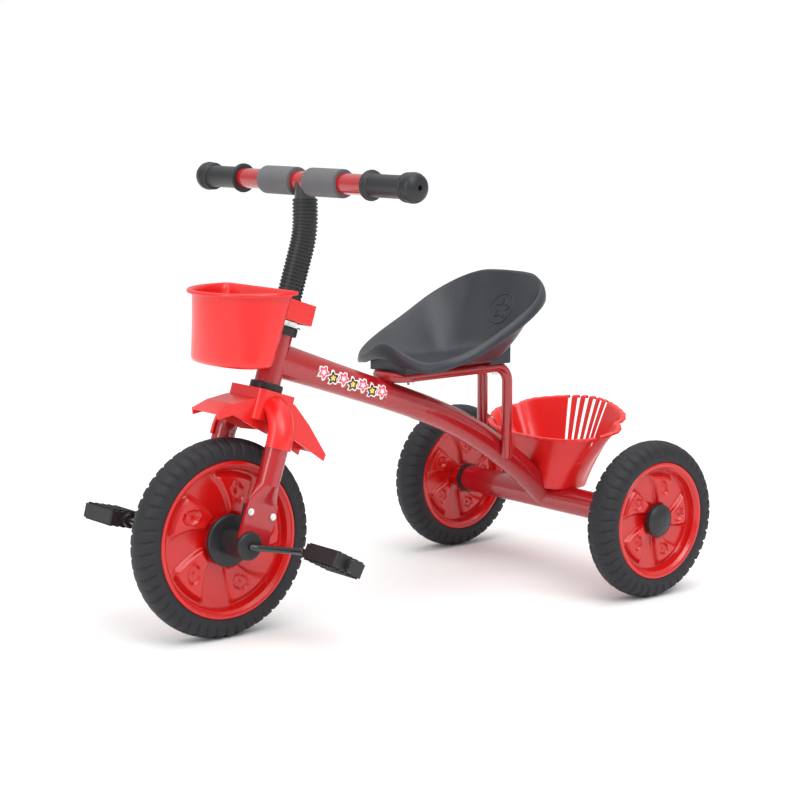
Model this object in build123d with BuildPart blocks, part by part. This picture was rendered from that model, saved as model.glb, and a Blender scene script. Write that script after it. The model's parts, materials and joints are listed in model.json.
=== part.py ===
"""Children's tricycle: steel frame, moulded seat, two baskets and three foam-tyred wheels.

+X points to the front wheel, +Y to the rider's left and +Z up.  The origin lies on the
ground, under the middle of the tricycle's overall box.
"""

from build123d import *
from math import cos, radians, sin, tan, sqrt
import os

os.makedirs("parts", exist_ok=True)

# ---------------------------------------------------------------- overall sizes
wheelbase = 532.0
half_track = 190.0              # middle plane of each rear wheel
front_radius = 120.0
rear_radius = 101.0
head_rake = 18.4                # steering axis leans back from the vertical, degrees
axle_drop = 191.5               # front axle below the head tube's end, along the axis
axle_offset = 10.0              # front axle ahead of the steering axis
bar_height = 535.0              # centre of the crossbar above the ground

# ---------------------------------------------------------------- fits
running_fit = 0.05              # radial gap of a turning pair
slip_fit = 0.15                 # radial gap of a pushed-in piece
face_gap = 0.3                  # gap between faces of pieces that turn past each other
cover_gap = 0.4                 # gap of a loose moulded cover

# ---------------------------------------------------------------- tubes
head_tube_length = 60.0
head_tube_radius = 16.0
head_tube_wall = 2.0
steerer_radius = 11.0
steerer_wall = 1.8
main_wall = 1.6
main_front_height = 43.0        # the main tube is tall at the head tube
main_front_width = 31.0
main_rear_height = 35.0         # and nearly round at the axle tube
main_rear_width = 36.0
main_slope = 19.6               # straight run falls towards the rear, degrees
main_bend_start = 245.0         # ahead of the rear axle
axle_tube_radius = 18.0
axle_tube_wall = 1.5
axle_tube_half = 157.0
seat_tube_radius = 7.0
seat_tube_wall = 1.2
seat_rail_y = 24.0
seat_rail_height = 290.0
seat_leg_x = 97.0               # ahead of the rear axle
seat_leg_foot = 168.0
seat_loop_front = 285.0
seat_corner_radius = 22.0
fork_tube_radius = 14.0
fork_tube_wall = 1.5
fork_half_width = 55.0
fork_bend_radius = 42.0
fork_offset = 4.0               # leg centre lines ahead of the steering axis
fork_crown_drop = 26.0          # crown centre line below the head tube's end
stem_radius = 12.7
stem_bend_radius = 120.0
crossbar_radius = 12.3
crossbar_wall = 1.5
crossbar_half = 200.0

# ---------------------------------------------------------------- headset
bush_radius = 20.0
bush_lower_height = 9.0
bush_upper_height = 10.0
bush_plug_depth = 12.0
washer_radius = 23.0
washer_height = 1.6
nut_across_flats = 32.0
nut_height = 5.0

# ---------------------------------------------------------------- fork ends
fork_plate_width = 43.0
fork_plate_thickness = 4.5
fork_flat_start = 52.0          # above the axle, where the tube is fully flat
fork_flat_blend = 22.0          # length over which the round tube flattens
block_screw_rise = 39.5         # screws above the axle, along the leg
block_screw_spacing = 33.0
block_boss_radius = 17.0
block_boss_inner = 29.0
block_boss_outer = 61.5
block_tab_thickness = 6.0
screw_head_radius = 4.2
screw_head_height = 2.4
screw_radius = 2.0

# ---------------------------------------------------------------- crank and pedals
crank_radius = 4.0
crank_length = 72.0
crank_dip = 12.4                # left arm points back and this far down, degrees
crank_plane = 67.0
crank_bend = 5.2
spindle_end = 164.0
pedal_inner = 96.0
pedal_width = 62.0
pedal_length = 45.0
pedal_core_thickness = 17.0
pedal_stud_height = 1.9
pedal_tilt_left = 29.0
pedal_tilt_right = 14.5
pedal_hub_radius = 7.5
pedal_hub_length = 8.0
pedal_cap_radius = 7.5

# ---------------------------------------------------------------- wheels
front_half_width = 19.2
rear_half_width = 19.6
front_rim_radius = 95.0
rear_rim_radius = 75.3
tyre_bead_depth = 5.0           # tyre reaches this far inside the rim's lip
tyre_shoulder_inset = 2.2
hub_cover_radius = 31.5
rear_rod_radius = 5.0
rear_rod_half = 208.0
rear_hub_radius = 15.0
hub_cap_radius = 20.7
hub_cap_height = 9.0

# ---------------------------------------------------------------- handlebar
foam_radius = 17.0
foam_inner_end = 14.0
foam_length = 62.0
grip_start = 125.0
grip_flange_radius = 18.0
grip_flange_width = 4.0
grip_barrel_radius = 13.8
grip_bulb_radius = 17.3
grip_bulb_centre = 201.0
grip_bulb_half = 11.0
sleeve_rib_radius = 15.2
sleeve_core_radius = 13.9
sleeve_rib_pitch = 4.3
sleeve_rib_width = 2.3

# ---------------------------------------------------------------- front basket
basket_wall = 2.2
basket_back_offset = 42.0       # outer face of the back, ahead of the steering axis
basket_top = 414.0
basket_bottom = 328.0
basket_front = 550.0            # ahead of the rear axle
basket_half_width = 67.0
basket_base_half_width = 63.0
basket_flange = 9.0
basket_flange_thickness = 3.0
clip_low = 78.0                 # along the steering axis, above the head tube's lower end
clip_height = 25.0
clip_wall = 3.0
clip_rear = 30.0                # behind the steering axis

# ---------------------------------------------------------------- rear basket
tray_wall = 2.4
tray_base_half_width = 45.0
tray_base_front = 22.0
tray_base_rear = -50.0
tray_seat_depth = 1.6           # the base is scooped this deep over the axle tube
tray_flange = 8.0
tray_flange_thickness = 3.0

# ---------------------------------------------------------------- mudguard
guard_wall = 2.4
guard_half_width = 27.0
guard_cap_half_width = 34.0
guard_cap_rear = 24.0
guard_cap_front = 30.0

# ---------------------------------------------------------------- seat
seat_thickness = 3.6

# ================================================================ reference places
rear_x = -(wheelbase + front_radius - rear_radius) / 2
front_x = rear_x + wheelbase
axis_up = Vector(-sin(radians(head_rake)), 0, cos(radians(head_rake)))
axis_forward = Vector(cos(radians(head_rake)), 0, sin(radians(head_rake)))
front_axle = Vector(front_x, 0, front_radius)
head_foot = front_axle + axis_up * axle_drop - axis_forward * axle_offset
steer = Plane(origin=head_foot, x_dir=axis_forward, z_dir=axis_up)


def on_steer(forward, side, up):
    """A point given ahead of, beside and along the steering axis."""
    return head_foot + axis_forward * forward + Vector(0, side, 0) + axis_up * up


def steer_plane(up, forward=0.0, side=0.0):
    """A plane square to the steering axis."""
    return Plane(origin=on_steer(forward, side, up), x_dir=axis_forward, z_dir=axis_up)


def wheel_plane(x, y, z):
    """A plane through a wheel's axis, for profiles of radius and width."""
    return Plane(origin=(x, y, z), x_dir=(1, 0, 0), z_dir=(0, 0, 1))


def side_plane(y=0.0):
    """A plane seen from the rider's right, with local x forward and local y up."""
    return Plane(origin=(0, y, 0), x_dir=(1, 0, 0), z_dir=(0, -1, 0))


def cross_plane(x, y, z):
    """A plane square to the Y axis, facing the rider's left."""
    return Plane(origin=(x, y, z), x_dir=(-1, 0, 0), z_dir=(0, 1, 0))


def save(piece, name):
    piece.part.label = name
    export_step(piece.part, f"parts/{name}.step")


def largest(piece):
    """The biggest solid of a cut piece, without the offcuts."""
    return Part(Compound([piece.part.solids().sort_by(SortBy.VOLUME)[-1]]).wrapped)


# ================================================================ frame
main_head_up = head_tube_length / 2
main_start = on_steer(0, 0, main_head_up)
bend_x = rear_x + main_bend_start
bend_z = main_start.Z - (main_start.X - bend_x) * tan(radians(main_slope))
main_end = Vector(rear_x, 0, rear_radius)

with BuildLine(Plane.XZ) as main_line:
    Line((main_start.X, main_start.Z), (bend_x, bend_z))
    slope_direction = (-cos(radians(main_slope)), -sin(radians(main_slope)))
    TangentArc((bend_x, bend_z), (main_end.X, main_end.Z), tangent=slope_direction)

main_stations = [0.0, 0.08, 0.25, 0.42, 0.56, 0.7, 0.85, 1.0]


def main_sections(inset):
    """Ellipses along the main tube, from the tall front to the round rear."""
    path = main_line.wire()
    faces = []
    for station in main_stations:
        blend = min(1.0, station / 0.42)
        blend = blend * (2 - blend)
        height = main_front_height + (main_rear_height - main_front_height) * blend
        width = main_front_width + (main_rear_width - main_front_width) * blend
        direction = path.tangent_at(station)
        section = Plane(origin=path.position_at(station), x_dir=(0, 1, 0), z_dir=direction)
        with BuildSketch(section) as outline:
            Ellipse(width / 2 - inset, height / 2 - inset)
        faces.append(outline.sketch)
    return faces


with BuildPart() as head_tube:
    with BuildSketch(steer):
        Circle(head_tube_radius)
    extrude(amount=head_tube_length)
    with BuildSketch(steer):
        Circle(head_tube_radius - head_tube_wall)
    extrude(amount=head_tube_length, mode=Mode.SUBTRACT)

with BuildPart() as axle_tube_body:
    with BuildSketch(cross_plane(rear_x, -axle_tube_half, rear_radius)):
        Circle(axle_tube_radius)
    extrude(amount=2 * axle_tube_half)

with BuildPart() as head_tube_body:
    with BuildSketch(steer):
        Circle(head_tube_radius)
    extrude(amount=head_tube_length)

with BuildPart() as main_tube:
    loft(sections=main_sections(0.0))
    loft(sections=main_sections(main_wall), mode=Mode.SUBTRACT)
    add(head_tube_body.part, mode=Mode.SUBTRACT)
    add(axle_tube_body.part, mode=Mode.SUBTRACT)
main_tube.part = largest(main_tube)

with BuildPart() as main_tube_body:
    loft(sections=main_sections(0.0))

with BuildPart() as rear_axle_tube:
    add(axle_tube_body.part)
    with BuildSketch(cross_plane(rear_x, -axle_tube_half, rear_radius)):
        Circle(axle_tube_radius - axle_tube_wall)
    extrude(amount=2 * axle_tube_half, mode=Mode.SUBTRACT)

save(head_tube, "head_tube")
save(main_tube, "main_tube")
save(rear_axle_tube, "rear_axle_tube")

# The seat frame is one bent tube: two legs, two rails and a loop across the main tube.
seat_points = [
    (rear_x + seat_leg_x, seat_rail_y, seat_leg_foot),
    (rear_x + seat_leg_x, seat_rail_y, seat_rail_height),
    (rear_x + seat_loop_front, seat_rail_y, seat_rail_height),
    (rear_x + seat_loop_front, -seat_rail_y, seat_rail_height),
    (rear_x + seat_leg_x, -seat_rail_y, seat_rail_height),
    (rear_x + seat_leg_x, -seat_rail_y, seat_leg_foot),
]
with BuildLine() as seat_line:
    FilletPolyline(*seat_points, radius=seat_corner_radius)

seat_foot_plane = Plane(origin=seat_points[0], z_dir=(0, 0, 1))
with BuildPart() as seat_frame_tube:
    with BuildSketch(seat_foot_plane):
        Circle(seat_tube_radius)
    sweep(path=seat_line.wire())
    with BuildSketch(seat_foot_plane):
        Circle(seat_tube_radius - seat_tube_wall)
    sweep(path=seat_line.wire(), mode=Mode.SUBTRACT)
    add(main_tube_body.part, mode=Mode.SUBTRACT)
seat_frame_tube.part = largest(seat_frame_tube)

# ---------------------------------------------------------------- headset
bush_bore = steerer_radius + running_fit
plug_radius = head_tube_radius - head_tube_wall


def headset_bush(end_up, thickness, outward):
    """A flanged bush pushed into one end of the head tube."""
    with BuildPart() as bush:
        with BuildSketch(steer_plane(end_up)):
            Circle(bush_radius)
        extrude(amount=thickness * outward)
        with BuildSketch(steer_plane(end_up)):
            Circle(plug_radius)
        extrude(amount=-bush_plug_depth * outward)
        with BuildSketch(steer_plane(end_up - bush_plug_depth * outward)):
            Circle(bush_bore)
        extrude(amount=(bush_plug_depth + thickness) * outward, mode=Mode.SUBTRACT)
        rim_edges = bush.edges().filter_by(GeomType.CIRCLE)
        outer_edges = [edge for edge in rim_edges if abs(edge.radius - bush_radius) < 0.01]
        fillet(outer_edges, radius=1.5)
    return bush


save(headset_bush(0.0, bush_lower_height, -1), "headset_bush_lower")
save(headset_bush(head_tube_length, bush_upper_height, 1), "headset_bush_upper")

# ---------------------------------------------------------------- rear axle
with BuildPart() as rear_axle_rod:
    with BuildSketch(cross_plane(rear_x, -rear_rod_half, rear_radius)):
        Circle(rear_rod_radius)
    extrude(amount=2 * rear_rod_half)
    chamfer(rear_axle_rod.edges().filter_by(GeomType.CIRCLE), length=0.8)
save(rear_axle_rod, "rear_axle_rod")

axle_bush_flange = 7.0
axle_bush_radius = 20.3
axle_bush_plug = 14.0
rear_hub_inner = axle_tube_half + axle_bush_flange + face_gap
rear_hub_outer = half_track + rear_half_width - 4.0
hub_washer_thickness = 1.2

for side in (-1, 1):
    with BuildPart() as axle_bush:
        with BuildSketch(cross_plane(rear_x, side * axle_tube_half, rear_radius)):
            Circle(axle_bush_radius)
        extrude(amount=side * axle_bush_flange)
        with BuildSketch(cross_plane(rear_x, side * axle_tube_half, rear_radius)):
            Circle(axle_tube_radius - axle_tube_wall)
        extrude(amount=-side * axle_bush_plug)
        with BuildSketch(cross_plane(rear_x, side * (axle_tube_half - axle_bush_plug), rear_radius)):
            Circle(rear_rod_radius)
        extrude(amount=side * (axle_bush_plug + axle_bush_flange), mode=Mode.SUBTRACT)
    save(axle_bush, "axle_tube_bush_" + ("left" if side > 0 else "right"))

with BuildPart() as rear_push_nuts:
    for side in (-1, 1):
        with BuildSketch(cross_plane(rear_x, side * (rear_hub_outer + face_gap), rear_radius)):
            Circle(9.0)
            Circle(rear_rod_radius, mode=Mode.SUBTRACT)
        extrude(amount=side * hub_washer_thickness)
        with BuildSketch(
            cross_plane(rear_x, side * (rear_hub_outer + face_gap + hub_washer_thickness), rear_radius)
        ):
            Circle(7.5)
            Circle(rear_rod_radius, mode=Mode.SUBTRACT)
        extrude(amount=side * 2.5)
save(rear_push_nuts, "rear_push_nuts")

# ================================================================ fork
leg_low = -(axle_drop - fork_flat_start)
plate_low = -axle_drop
leg_round_low = leg_low + fork_flat_blend
fork_plane = Plane(origin=on_steer(fork_offset, 0, 0), x_dir=(0, 1, 0), z_dir=axis_forward)
crown_up = -fork_crown_drop

with BuildLine(fork_plane) as fork_line:
    FilletPolyline(
        (-fork_half_width, leg_round_low),
        (-fork_half_width, crown_up),
        (fork_half_width, crown_up),
        (fork_half_width, leg_round_low),
        radius=fork_bend_radius,
    )

with BuildPart() as fork_tube:
    with BuildSketch(steer_plane(leg_round_low, fork_offset, -fork_half_width)):
        Circle(fork_tube_radius)
    sweep(path=fork_line.wire())
    with BuildSketch(steer_plane(leg_round_low, fork_offset, -fork_half_width)):
        Circle(fork_tube_radius - fork_tube_wall)
    sweep(path=fork_line.wire(), mode=Mode.SUBTRACT)

plate_drop = leg_low - plate_low
for side in (-1, 1):
    leg_y = side * fork_half_width
    with BuildPart() as flattened_end:
        with BuildSketch(steer_plane(leg_round_low, fork_offset, leg_y)) as round_end:
            Circle(fork_tube_radius)
        with BuildSketch(steer_plane(leg_low, fork_offset, leg_y)) as flat_end:
            Ellipse(fork_plate_width / 2, fork_plate_thickness / 2 + 0.8)
        loft(sections=[round_end.sketch, flat_end.sketch])
    # local y of the plate's plane points down the leg
    plate_plane = Plane(
        origin=on_steer(fork_offset, leg_y - fork_plate_thickness / 2, leg_low),
        x_dir=axis_forward,
        z_dir=(0, 1, 0),
    )
    with BuildPart() as end_plate:
        with BuildSketch(plate_plane):
            with Locations((0, plate_drop / 2 - 0.5)):
                Rectangle(fork_plate_width, plate_drop + 1.0)
            with Locations((axle_offset - fork_offset, plate_drop)):
                Circle(block_boss_radius + slip_fit, mode=Mode.SUBTRACT)
            with Locations((0, plate_drop - block_screw_rise)):
                with GridLocations(block_screw_spacing, 0, 2, 1):
                    Circle(screw_radius + slip_fit, mode=Mode.SUBTRACT)
        extrude(amount=fork_plate_thickness)
    with fork_tube:
        add(flattened_end.part)
        add(end_plate.part)
save(fork_tube, "fork_tube")

steerer_top = 112.0
with BuildPart() as fork_tube_body:
    with BuildSketch(steer_plane(leg_round_low, fork_offset, -fork_half_width)):
        Circle(fork_tube_radius)
    sweep(path=fork_line.wire())

with BuildPart() as steerer_tube:
    with BuildSketch(steer_plane(crown_up)):
        Circle(steerer_radius)
    extrude(amount=steerer_top - crown_up)
    with BuildSketch(steer_plane(crown_up)):
        Circle(steerer_radius - steerer_wall)
    extrude(amount=steerer_top - crown_up, mode=Mode.SUBTRACT)
    add(fork_tube_body.part, mode=Mode.SUBTRACT)
steerer_tube.part = largest(steerer_tube)
save(steerer_tube, "steerer_tube")

# ---------------------------------------------------------------- headset washer and nut
washer_low = head_tube_length + bush_upper_height + face_gap
with BuildPart() as headset_washer:
    with BuildSketch(steer_plane(washer_low)):
        Circle(washer_radius)
        Circle(steerer_radius + slip_fit, mode=Mode.SUBTRACT)
    extrude(amount=washer_height)
save(headset_washer, "headset_washer")

nut_low = washer_low + washer_height
with BuildPart() as headset_nut:
    with BuildSketch(steer_plane(nut_low)):
        RegularPolygon(radius=nut_across_flats / 2, side_count=6, major_radius=False)
        Circle(steerer_radius + slip_fit, mode=Mode.SUBTRACT)
    extrude(amount=nut_height)
save(headset_nut, "headset_nut")

# ---------------------------------------------------------------- stem and crossbar
stem_low = nut_low + nut_height
stem_corner_up = stem_low + 108.0
stem_corner = on_steer(0, 0, stem_corner_up)
bar_x = stem_corner.X

with BuildLine(Plane.XZ) as stem_line:
    FilletPolyline(
        (on_steer(0, 0, stem_low).X, on_steer(0, 0, stem_low).Z),
        (stem_corner.X, stem_corner.Z),
        (bar_x, bar_height),
        radius=stem_bend_radius,
    )

with BuildPart() as crossbar_body:
    with BuildSketch(cross_plane(bar_x, -crossbar_half, bar_height)):
        Circle(crossbar_radius)
    extrude(amount=2 * crossbar_half)

with BuildPart() as handlebar_stem:
    with BuildSketch(steer_plane(stem_low)):
        Circle(stem_radius)
    sweep(path=stem_line.wire())
    with BuildSketch(steer_plane(stem_low)):
        Circle(steerer_radius + slip_fit)
    sweep(path=stem_line.wire(), mode=Mode.SUBTRACT)
    add(crossbar_body.part, mode=Mode.SUBTRACT)
handlebar_stem.part = largest(handlebar_stem)
save(handlebar_stem, "handlebar_stem")

with BuildPart() as handlebar_crossbar:
    add(crossbar_body.part)
    with BuildSketch(cross_plane(bar_x, -crossbar_half, bar_height)):
        Circle(crossbar_radius - crossbar_wall)
    extrude(amount=2 * crossbar_half, mode=Mode.SUBTRACT)
save(handlebar_crossbar, "handlebar_crossbar")

# The corrugated sleeve follows the stem, from above the nut to below the foam.
sleeve_start = 4.0
sleeve_end = stem_line.wire().length - foam_radius - 3.0
rib_count = int((sleeve_end - sleeve_start) / sleeve_rib_pitch)
with BuildPart() as stem_sleeve:
    with BuildLine(Plane.XZ) as sleeve_line:
        add(stem_line.wire().trim(sleeve_start / stem_line.wire().length,
                                  sleeve_end / stem_line.wire().length))
    with BuildSketch(Plane(origin=sleeve_line.wire() @ 0, x_dir=(0, 1, 0), z_dir=sleeve_line.wire() % 0)):
        Circle(sleeve_core_radius)
    sweep(path=sleeve_line.wire())
    for index in range(rib_count):
        station = (index + 0.5) / rib_count
        rib_plane = Plane(
            origin=sleeve_line.wire() @ station, x_dir=(0, 1, 0), z_dir=sleeve_line.wire() % station
        )
        with BuildSketch(rib_plane.offset(-sleeve_rib_width / 2)):
            Circle(sleeve_rib_radius)
        extrude(amount=sleeve_rib_width)
    with BuildSketch(steer_plane(stem_low)):
        Circle(stem_radius + slip_fit)
    sweep(path=stem_line.wire(), mode=Mode.SUBTRACT)
save(stem_sleeve, "stem_sleeve")

# ---------------------------------------------------------------- foam sleeves and grips
for side in (-1, 1):
    name_side = "left" if side > 0 else "right"
    with BuildPart() as foam_sleeve:
        with BuildSketch(cross_plane(bar_x, side * foam_inner_end, bar_height)):
            Circle(foam_radius)
            Circle(crossbar_radius + slip_fit, mode=Mode.SUBTRACT)
        extrude(amount=side * foam_length)
        foam_edges = foam_sleeve.edges().filter_by(GeomType.CIRCLE)
        fillet([edge for edge in foam_edges if abs(edge.radius - foam_radius) < 0.01], radius=1.5)
    save(foam_sleeve, "foam_sleeve_" + name_side)

    with BuildPart() as grip:
        with BuildSketch(wheel_plane(bar_x, 0, bar_height)):
            with BuildLine():
                bulb_start = grip_bulb_centre - grip_bulb_half
                bulb_end = grip_bulb_centre + grip_bulb_half
                Polyline(
                    (0, side * crossbar_half),
                    (crossbar_radius + slip_fit, side * crossbar_half),
                    (crossbar_radius + slip_fit, side * grip_start),
                    (grip_flange_radius, side * grip_start),
                    (grip_flange_radius, side * (grip_start + grip_flange_width)),
                    (grip_barrel_radius, side * (grip_start + grip_flange_width + 3.0)),
                    (grip_barrel_radius, side * bulb_start),
                )
                ThreePointArc(
                    (grip_barrel_radius, side * bulb_start),
                    (grip_bulb_radius, side * grip_bulb_centre),
                    (grip_barrel_radius, side * bulb_end),
                )
                Polyline(
                    (grip_barrel_radius, side * bulb_end),
                    (8.0, side * (bulb_end + 1.5)),
                    (0, side * (bulb_end + 1.5)),
                    (0, side * crossbar_half),
                )
            make_face()
        revolve(axis=Axis((bar_x, 0, bar_height), (0, 1, 0)))
    save(grip, "grip_" + name_side)

# ================================================================ fork-end bearing blocks
wheel_side = {1: "left", -1: "right"}


def leg_point(forward, up, y):
    """A point given from the leg's centre line, at a height above the axle."""
    return on_steer(fork_offset + forward, y, up - axle_drop)


tab_outer = fork_half_width - fork_plate_thickness / 2
tab_inner = tab_outer - block_tab_thickness
for side in (-1, 1):
    with BuildPart() as bearing_block:
        with BuildSketch(cross_plane(front_x, side * block_boss_inner, front_radius)):
            Circle(block_boss_radius)
        extrude(amount=side * (block_boss_outer - block_boss_inner))
        tab_plane = Plane(
            origin=leg_point(0, 0, side * tab_inner), x_dir=axis_forward, z_dir=(0, -1, 0)
        )
        with BuildSketch(tab_plane):
            with Locations((0, block_screw_rise)):
                Rectangle(fork_plate_width - 2.0, 16.0)
            with Locations(((axle_offset - fork_offset) / 2, block_screw_rise / 2)):
                Rectangle(2 * block_boss_radius - 4.0, block_screw_rise)
        extrude(amount=-side * block_tab_thickness)
        screw_plane = Plane(
            origin=leg_point(0, block_screw_rise, side * tab_inner), x_dir=axis_forward, z_dir=(0, -1, 0)
        )
        with BuildSketch(screw_plane):
            with GridLocations(block_screw_spacing, 0, 2, 1):
                Circle(screw_radius)
        extrude(amount=-side * block_tab_thickness, mode=Mode.SUBTRACT)
        with BuildSketch(cross_plane(front_x, side * block_boss_inner, front_radius)):
            Circle(crank_radius + running_fit)
        extrude(amount=side * (block_boss_outer - block_boss_inner), mode=Mode.SUBTRACT)
        boss_edges = bearing_block.edges().filter_by(GeomType.CIRCLE)
        outer_rim = [
            edge for edge in boss_edges
            if abs(edge.radius - block_boss_radius) < 0.01
            and abs(edge.arc_center.Y - side * block_boss_outer) < 0.01
        ]
        fillet(outer_rim, radius=3.0)
    save(bearing_block, "bearing_block_" + wheel_side[side])

with BuildPart() as block_screws:
    for side in (-1, 1):
        head_start = side * (fork_half_width + fork_plate_thickness / 2)
        shank = fork_plate_thickness + block_tab_thickness
        head_plane = Plane(
            origin=leg_point(0, block_screw_rise, head_start), x_dir=axis_forward, z_dir=(0, -1, 0)
        )
        with BuildSketch(head_plane):
            with GridLocations(block_screw_spacing, 0, 2, 1):
                Circle(screw_head_radius)
        extrude(amount=-side * screw_head_height)
        with BuildSketch(head_plane):
            with GridLocations(block_screw_spacing, 0, 2, 1):
                Circle(screw_radius)
        extrude(amount=side * shank)
save(block_screws, "block_screws")

# ================================================================ crankshaft and pedals
arm_back = -crank_length * cos(radians(crank_dip))
arm_down = -crank_length * sin(radians(crank_dip))
left_pin = (front_x + arm_back, front_radius + arm_down)
right_pin = (front_x - arm_back, front_radius - arm_down)

with BuildLine() as crank_line:
    FilletPolyline(
        (right_pin[0], -spindle_end, right_pin[1]),
        (right_pin[0], -crank_plane, right_pin[1]),
        (front_x, -crank_plane, front_radius),
        (front_x, crank_plane, front_radius),
        (left_pin[0], crank_plane, left_pin[1]),
        (left_pin[0], spindle_end, left_pin[1]),
        radius=crank_bend,
    )
with BuildPart() as crankshaft:
    with BuildSketch(cross_plane(right_pin[0], -spindle_end, right_pin[1])):
        Circle(crank_radius)
    sweep(path=crank_line.wire())
save(crankshaft, "crankshaft")

stud_pitch_long = 9.0
stud_pitch_wide = 5.3
stud_long = 3.4
stud_wide = 3.2


def build_pedal(side, pin, tilt):
    """A block pedal with rows of studs, turned about its pin so that its front is up."""
    middle_y = side * (pedal_inner + pedal_width / 2)
    tilted = Plane(
        origin=(pin[0], middle_y, pin[1]),
        x_dir=(cos(radians(tilt)), 0, sin(radians(tilt))),
        z_dir=(-sin(radians(tilt)), 0, cos(radians(tilt))),
    )
    half_core = pedal_core_thickness / 2
    with BuildPart() as pedal:
        with BuildSketch(tilted.offset(-half_core)):
            RectangleRounded(pedal_length, pedal_width, 3.0)
        extrude(amount=pedal_core_thickness)
        for face in (-1, 1):
            with BuildSketch(tilted.offset(face * half_core)):
                with GridLocations(stud_pitch_long, stud_pitch_wide, 5, 11):
                    Rectangle(stud_long, stud_wide)
            extrude(amount=face * pedal_stud_height)
        with BuildSketch(cross_plane(pin[0], side * (pedal_inner - pedal_hub_length), pin[1])):
            Circle(pedal_hub_radius)
        extrude(amount=side * (pedal_hub_length + 2.0))
        with BuildSketch(cross_plane(pin[0], side * (pedal_inner - pedal_hub_length), pin[1])):
            Circle(crank_radius + running_fit)
        extrude(amount=side * (pedal_hub_length + pedal_width), mode=Mode.SUBTRACT)
    return pedal


save(build_pedal(1, left_pin, pedal_tilt_left), "pedal_left")
save(build_pedal(-1, right_pin, pedal_tilt_right), "pedal_right")

pedal_outer = pedal_inner + pedal_width
with BuildPart() as pedal_caps:
    for side, pin in ((1, left_pin), (-1, right_pin)):
        with BuildSketch(cross_plane(pin[0], side * (pedal_outer + face_gap), pin[1])):
            Circle(pedal_cap_radius)
        extrude(amount=side * (spindle_end - pedal_outer - face_gap + 2.0))
        with BuildSketch(cross_plane(pin[0], side * (pedal_outer + face_gap), pin[1])):
            Circle(crank_radius)
        extrude(amount=side * (spindle_end - pedal_outer - face_gap), mode=Mode.SUBTRACT)
save(pedal_caps, "pedal_caps")

# ================================================================ wheels
pad_count = 5
pad_height = 5.0
pad_recess_radius = 8.0
pad_recess_depth = 2.5


def build_rim(x, y, z, rim_radius, half_width, hub_radius, hub_low, hub_high, bore):
    """A moulded wheel centre: hub, dished web with raised pads, barrel and lips."""
    bead = rim_radius - tyre_bead_depth
    step = bead - 7.0
    lip = half_width - 3.0
    with BuildPart() as rim:
        with BuildSketch(wheel_plane(x, y, z)):
            with BuildLine():
                Polyline(
                    (bore, hub_high),
                    (hub_radius, hub_high),
                    (hub_radius, 10.0),
                    (hub_radius + 3.0, 8.5),
                    (step, 6.5),
                    (step + 3.0, half_width - 4.0),
                    (bead - 1.0, half_width - 3.0),
                    (bead + 1.0, half_width),
                    (rim_radius, half_width),
                    (rim_radius, lip),
                    (bead, lip),
                    (bead, -lip),
                    (rim_radius, -lip),
                    (rim_radius, -half_width),
                    (bead + 1.0, -half_width),
                    (bead - 1.0, -half_width + 3.0),
                    (step + 3.0, -half_width + 4.0),
                    (step, -6.5),
                    (hub_radius + 3.0, -8.5),
                    (hub_radius, -10.0),
                    (hub_radius, hub_low),
                    (bore, hub_low),
                    (bore, hub_high),
                )
            make_face()
        revolve(axis=Axis((x, y, z), (0, 1, 0)))
        pad_inner = hub_radius + 5.0
        pad_outer = step - 3.0
        for face in (-1, 1):
            with BuildSketch(cross_plane(x, y + face * 5.5, z)):
                with PolarLocations(0, pad_count, start_angle=20.0):
                    with BuildLine():
                        spread_in = radians(17)
                        spread_out = radians(25)
                        inner_a = (pad_inner * cos(spread_in), -pad_inner * sin(spread_in))
                        outer_a = (pad_outer * cos(spread_out), -pad_outer * sin(spread_out))
                        inner_b = (pad_inner * cos(spread_in), pad_inner * sin(spread_in))
                        outer_b = (pad_outer * cos(spread_out), pad_outer * sin(spread_out))
                        Line(inner_a, outer_a)
                        ThreePointArc(outer_a, (pad_outer, 0), outer_b)
                        Line(outer_b, inner_b)
                        ThreePointArc(inner_b, (pad_inner, 0), inner_a)
                    make_face()
            extrude(amount=face * (pad_height + 3.0), taper=12)
            with BuildSketch(cross_plane(x, y + face * (8.5 + pad_height), z)):
                with PolarLocations((pad_inner + pad_outer) / 2 + 3.0, pad_count, start_angle=20.0):
                    Circle(pad_recess_radius * rim_radius / front_rim_radius)
            extrude(amount=-face * pad_recess_depth, mode=Mode.SUBTRACT)
    return rim


def build_tyre(x, y, z, tyre_radius, rim_radius, half_width):
    """A foam tyre that sits between the rim's lips and bulges past them."""
    bead = rim_radius - tyre_bead_depth
    lip = half_width - 3.0
    shoulder = half_width - tyre_shoulder_inset
    side_radius = rim_radius + 3.0
    crown_edge = tyre_radius - 3.5
    with BuildPart() as tyre:
        with BuildSketch(wheel_plane(x, y, z)):
            with BuildLine():
                Line((bead, -lip), (bead, lip))
                Line((bead, lip), (rim_radius, lip))
                Line((rim_radius, lip), (side_radius, shoulder))
                Line((side_radius, shoulder), (tyre_radius - 9.0, shoulder))
                Line((tyre_radius - 9.0, shoulder), (crown_edge, shoulder - 4.0))
                ThreePointArc(
                    (crown_edge, shoulder - 4.0), (tyre_radius, 0), (crown_edge, -shoulder + 4.0)
                )
                Line((crown_edge, -shoulder + 4.0), (tyre_radius - 9.0, -shoulder))
                Line((tyre_radius - 9.0, -shoulder), (side_radius, -shoulder))
                Line((side_radius, -shoulder), (rim_radius, -lip))
                Line((rim_radius, -lip), (bead, -lip))
            make_face()
        revolve(axis=Axis((x, y, z), (0, 1, 0)))
    return tyre


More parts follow.
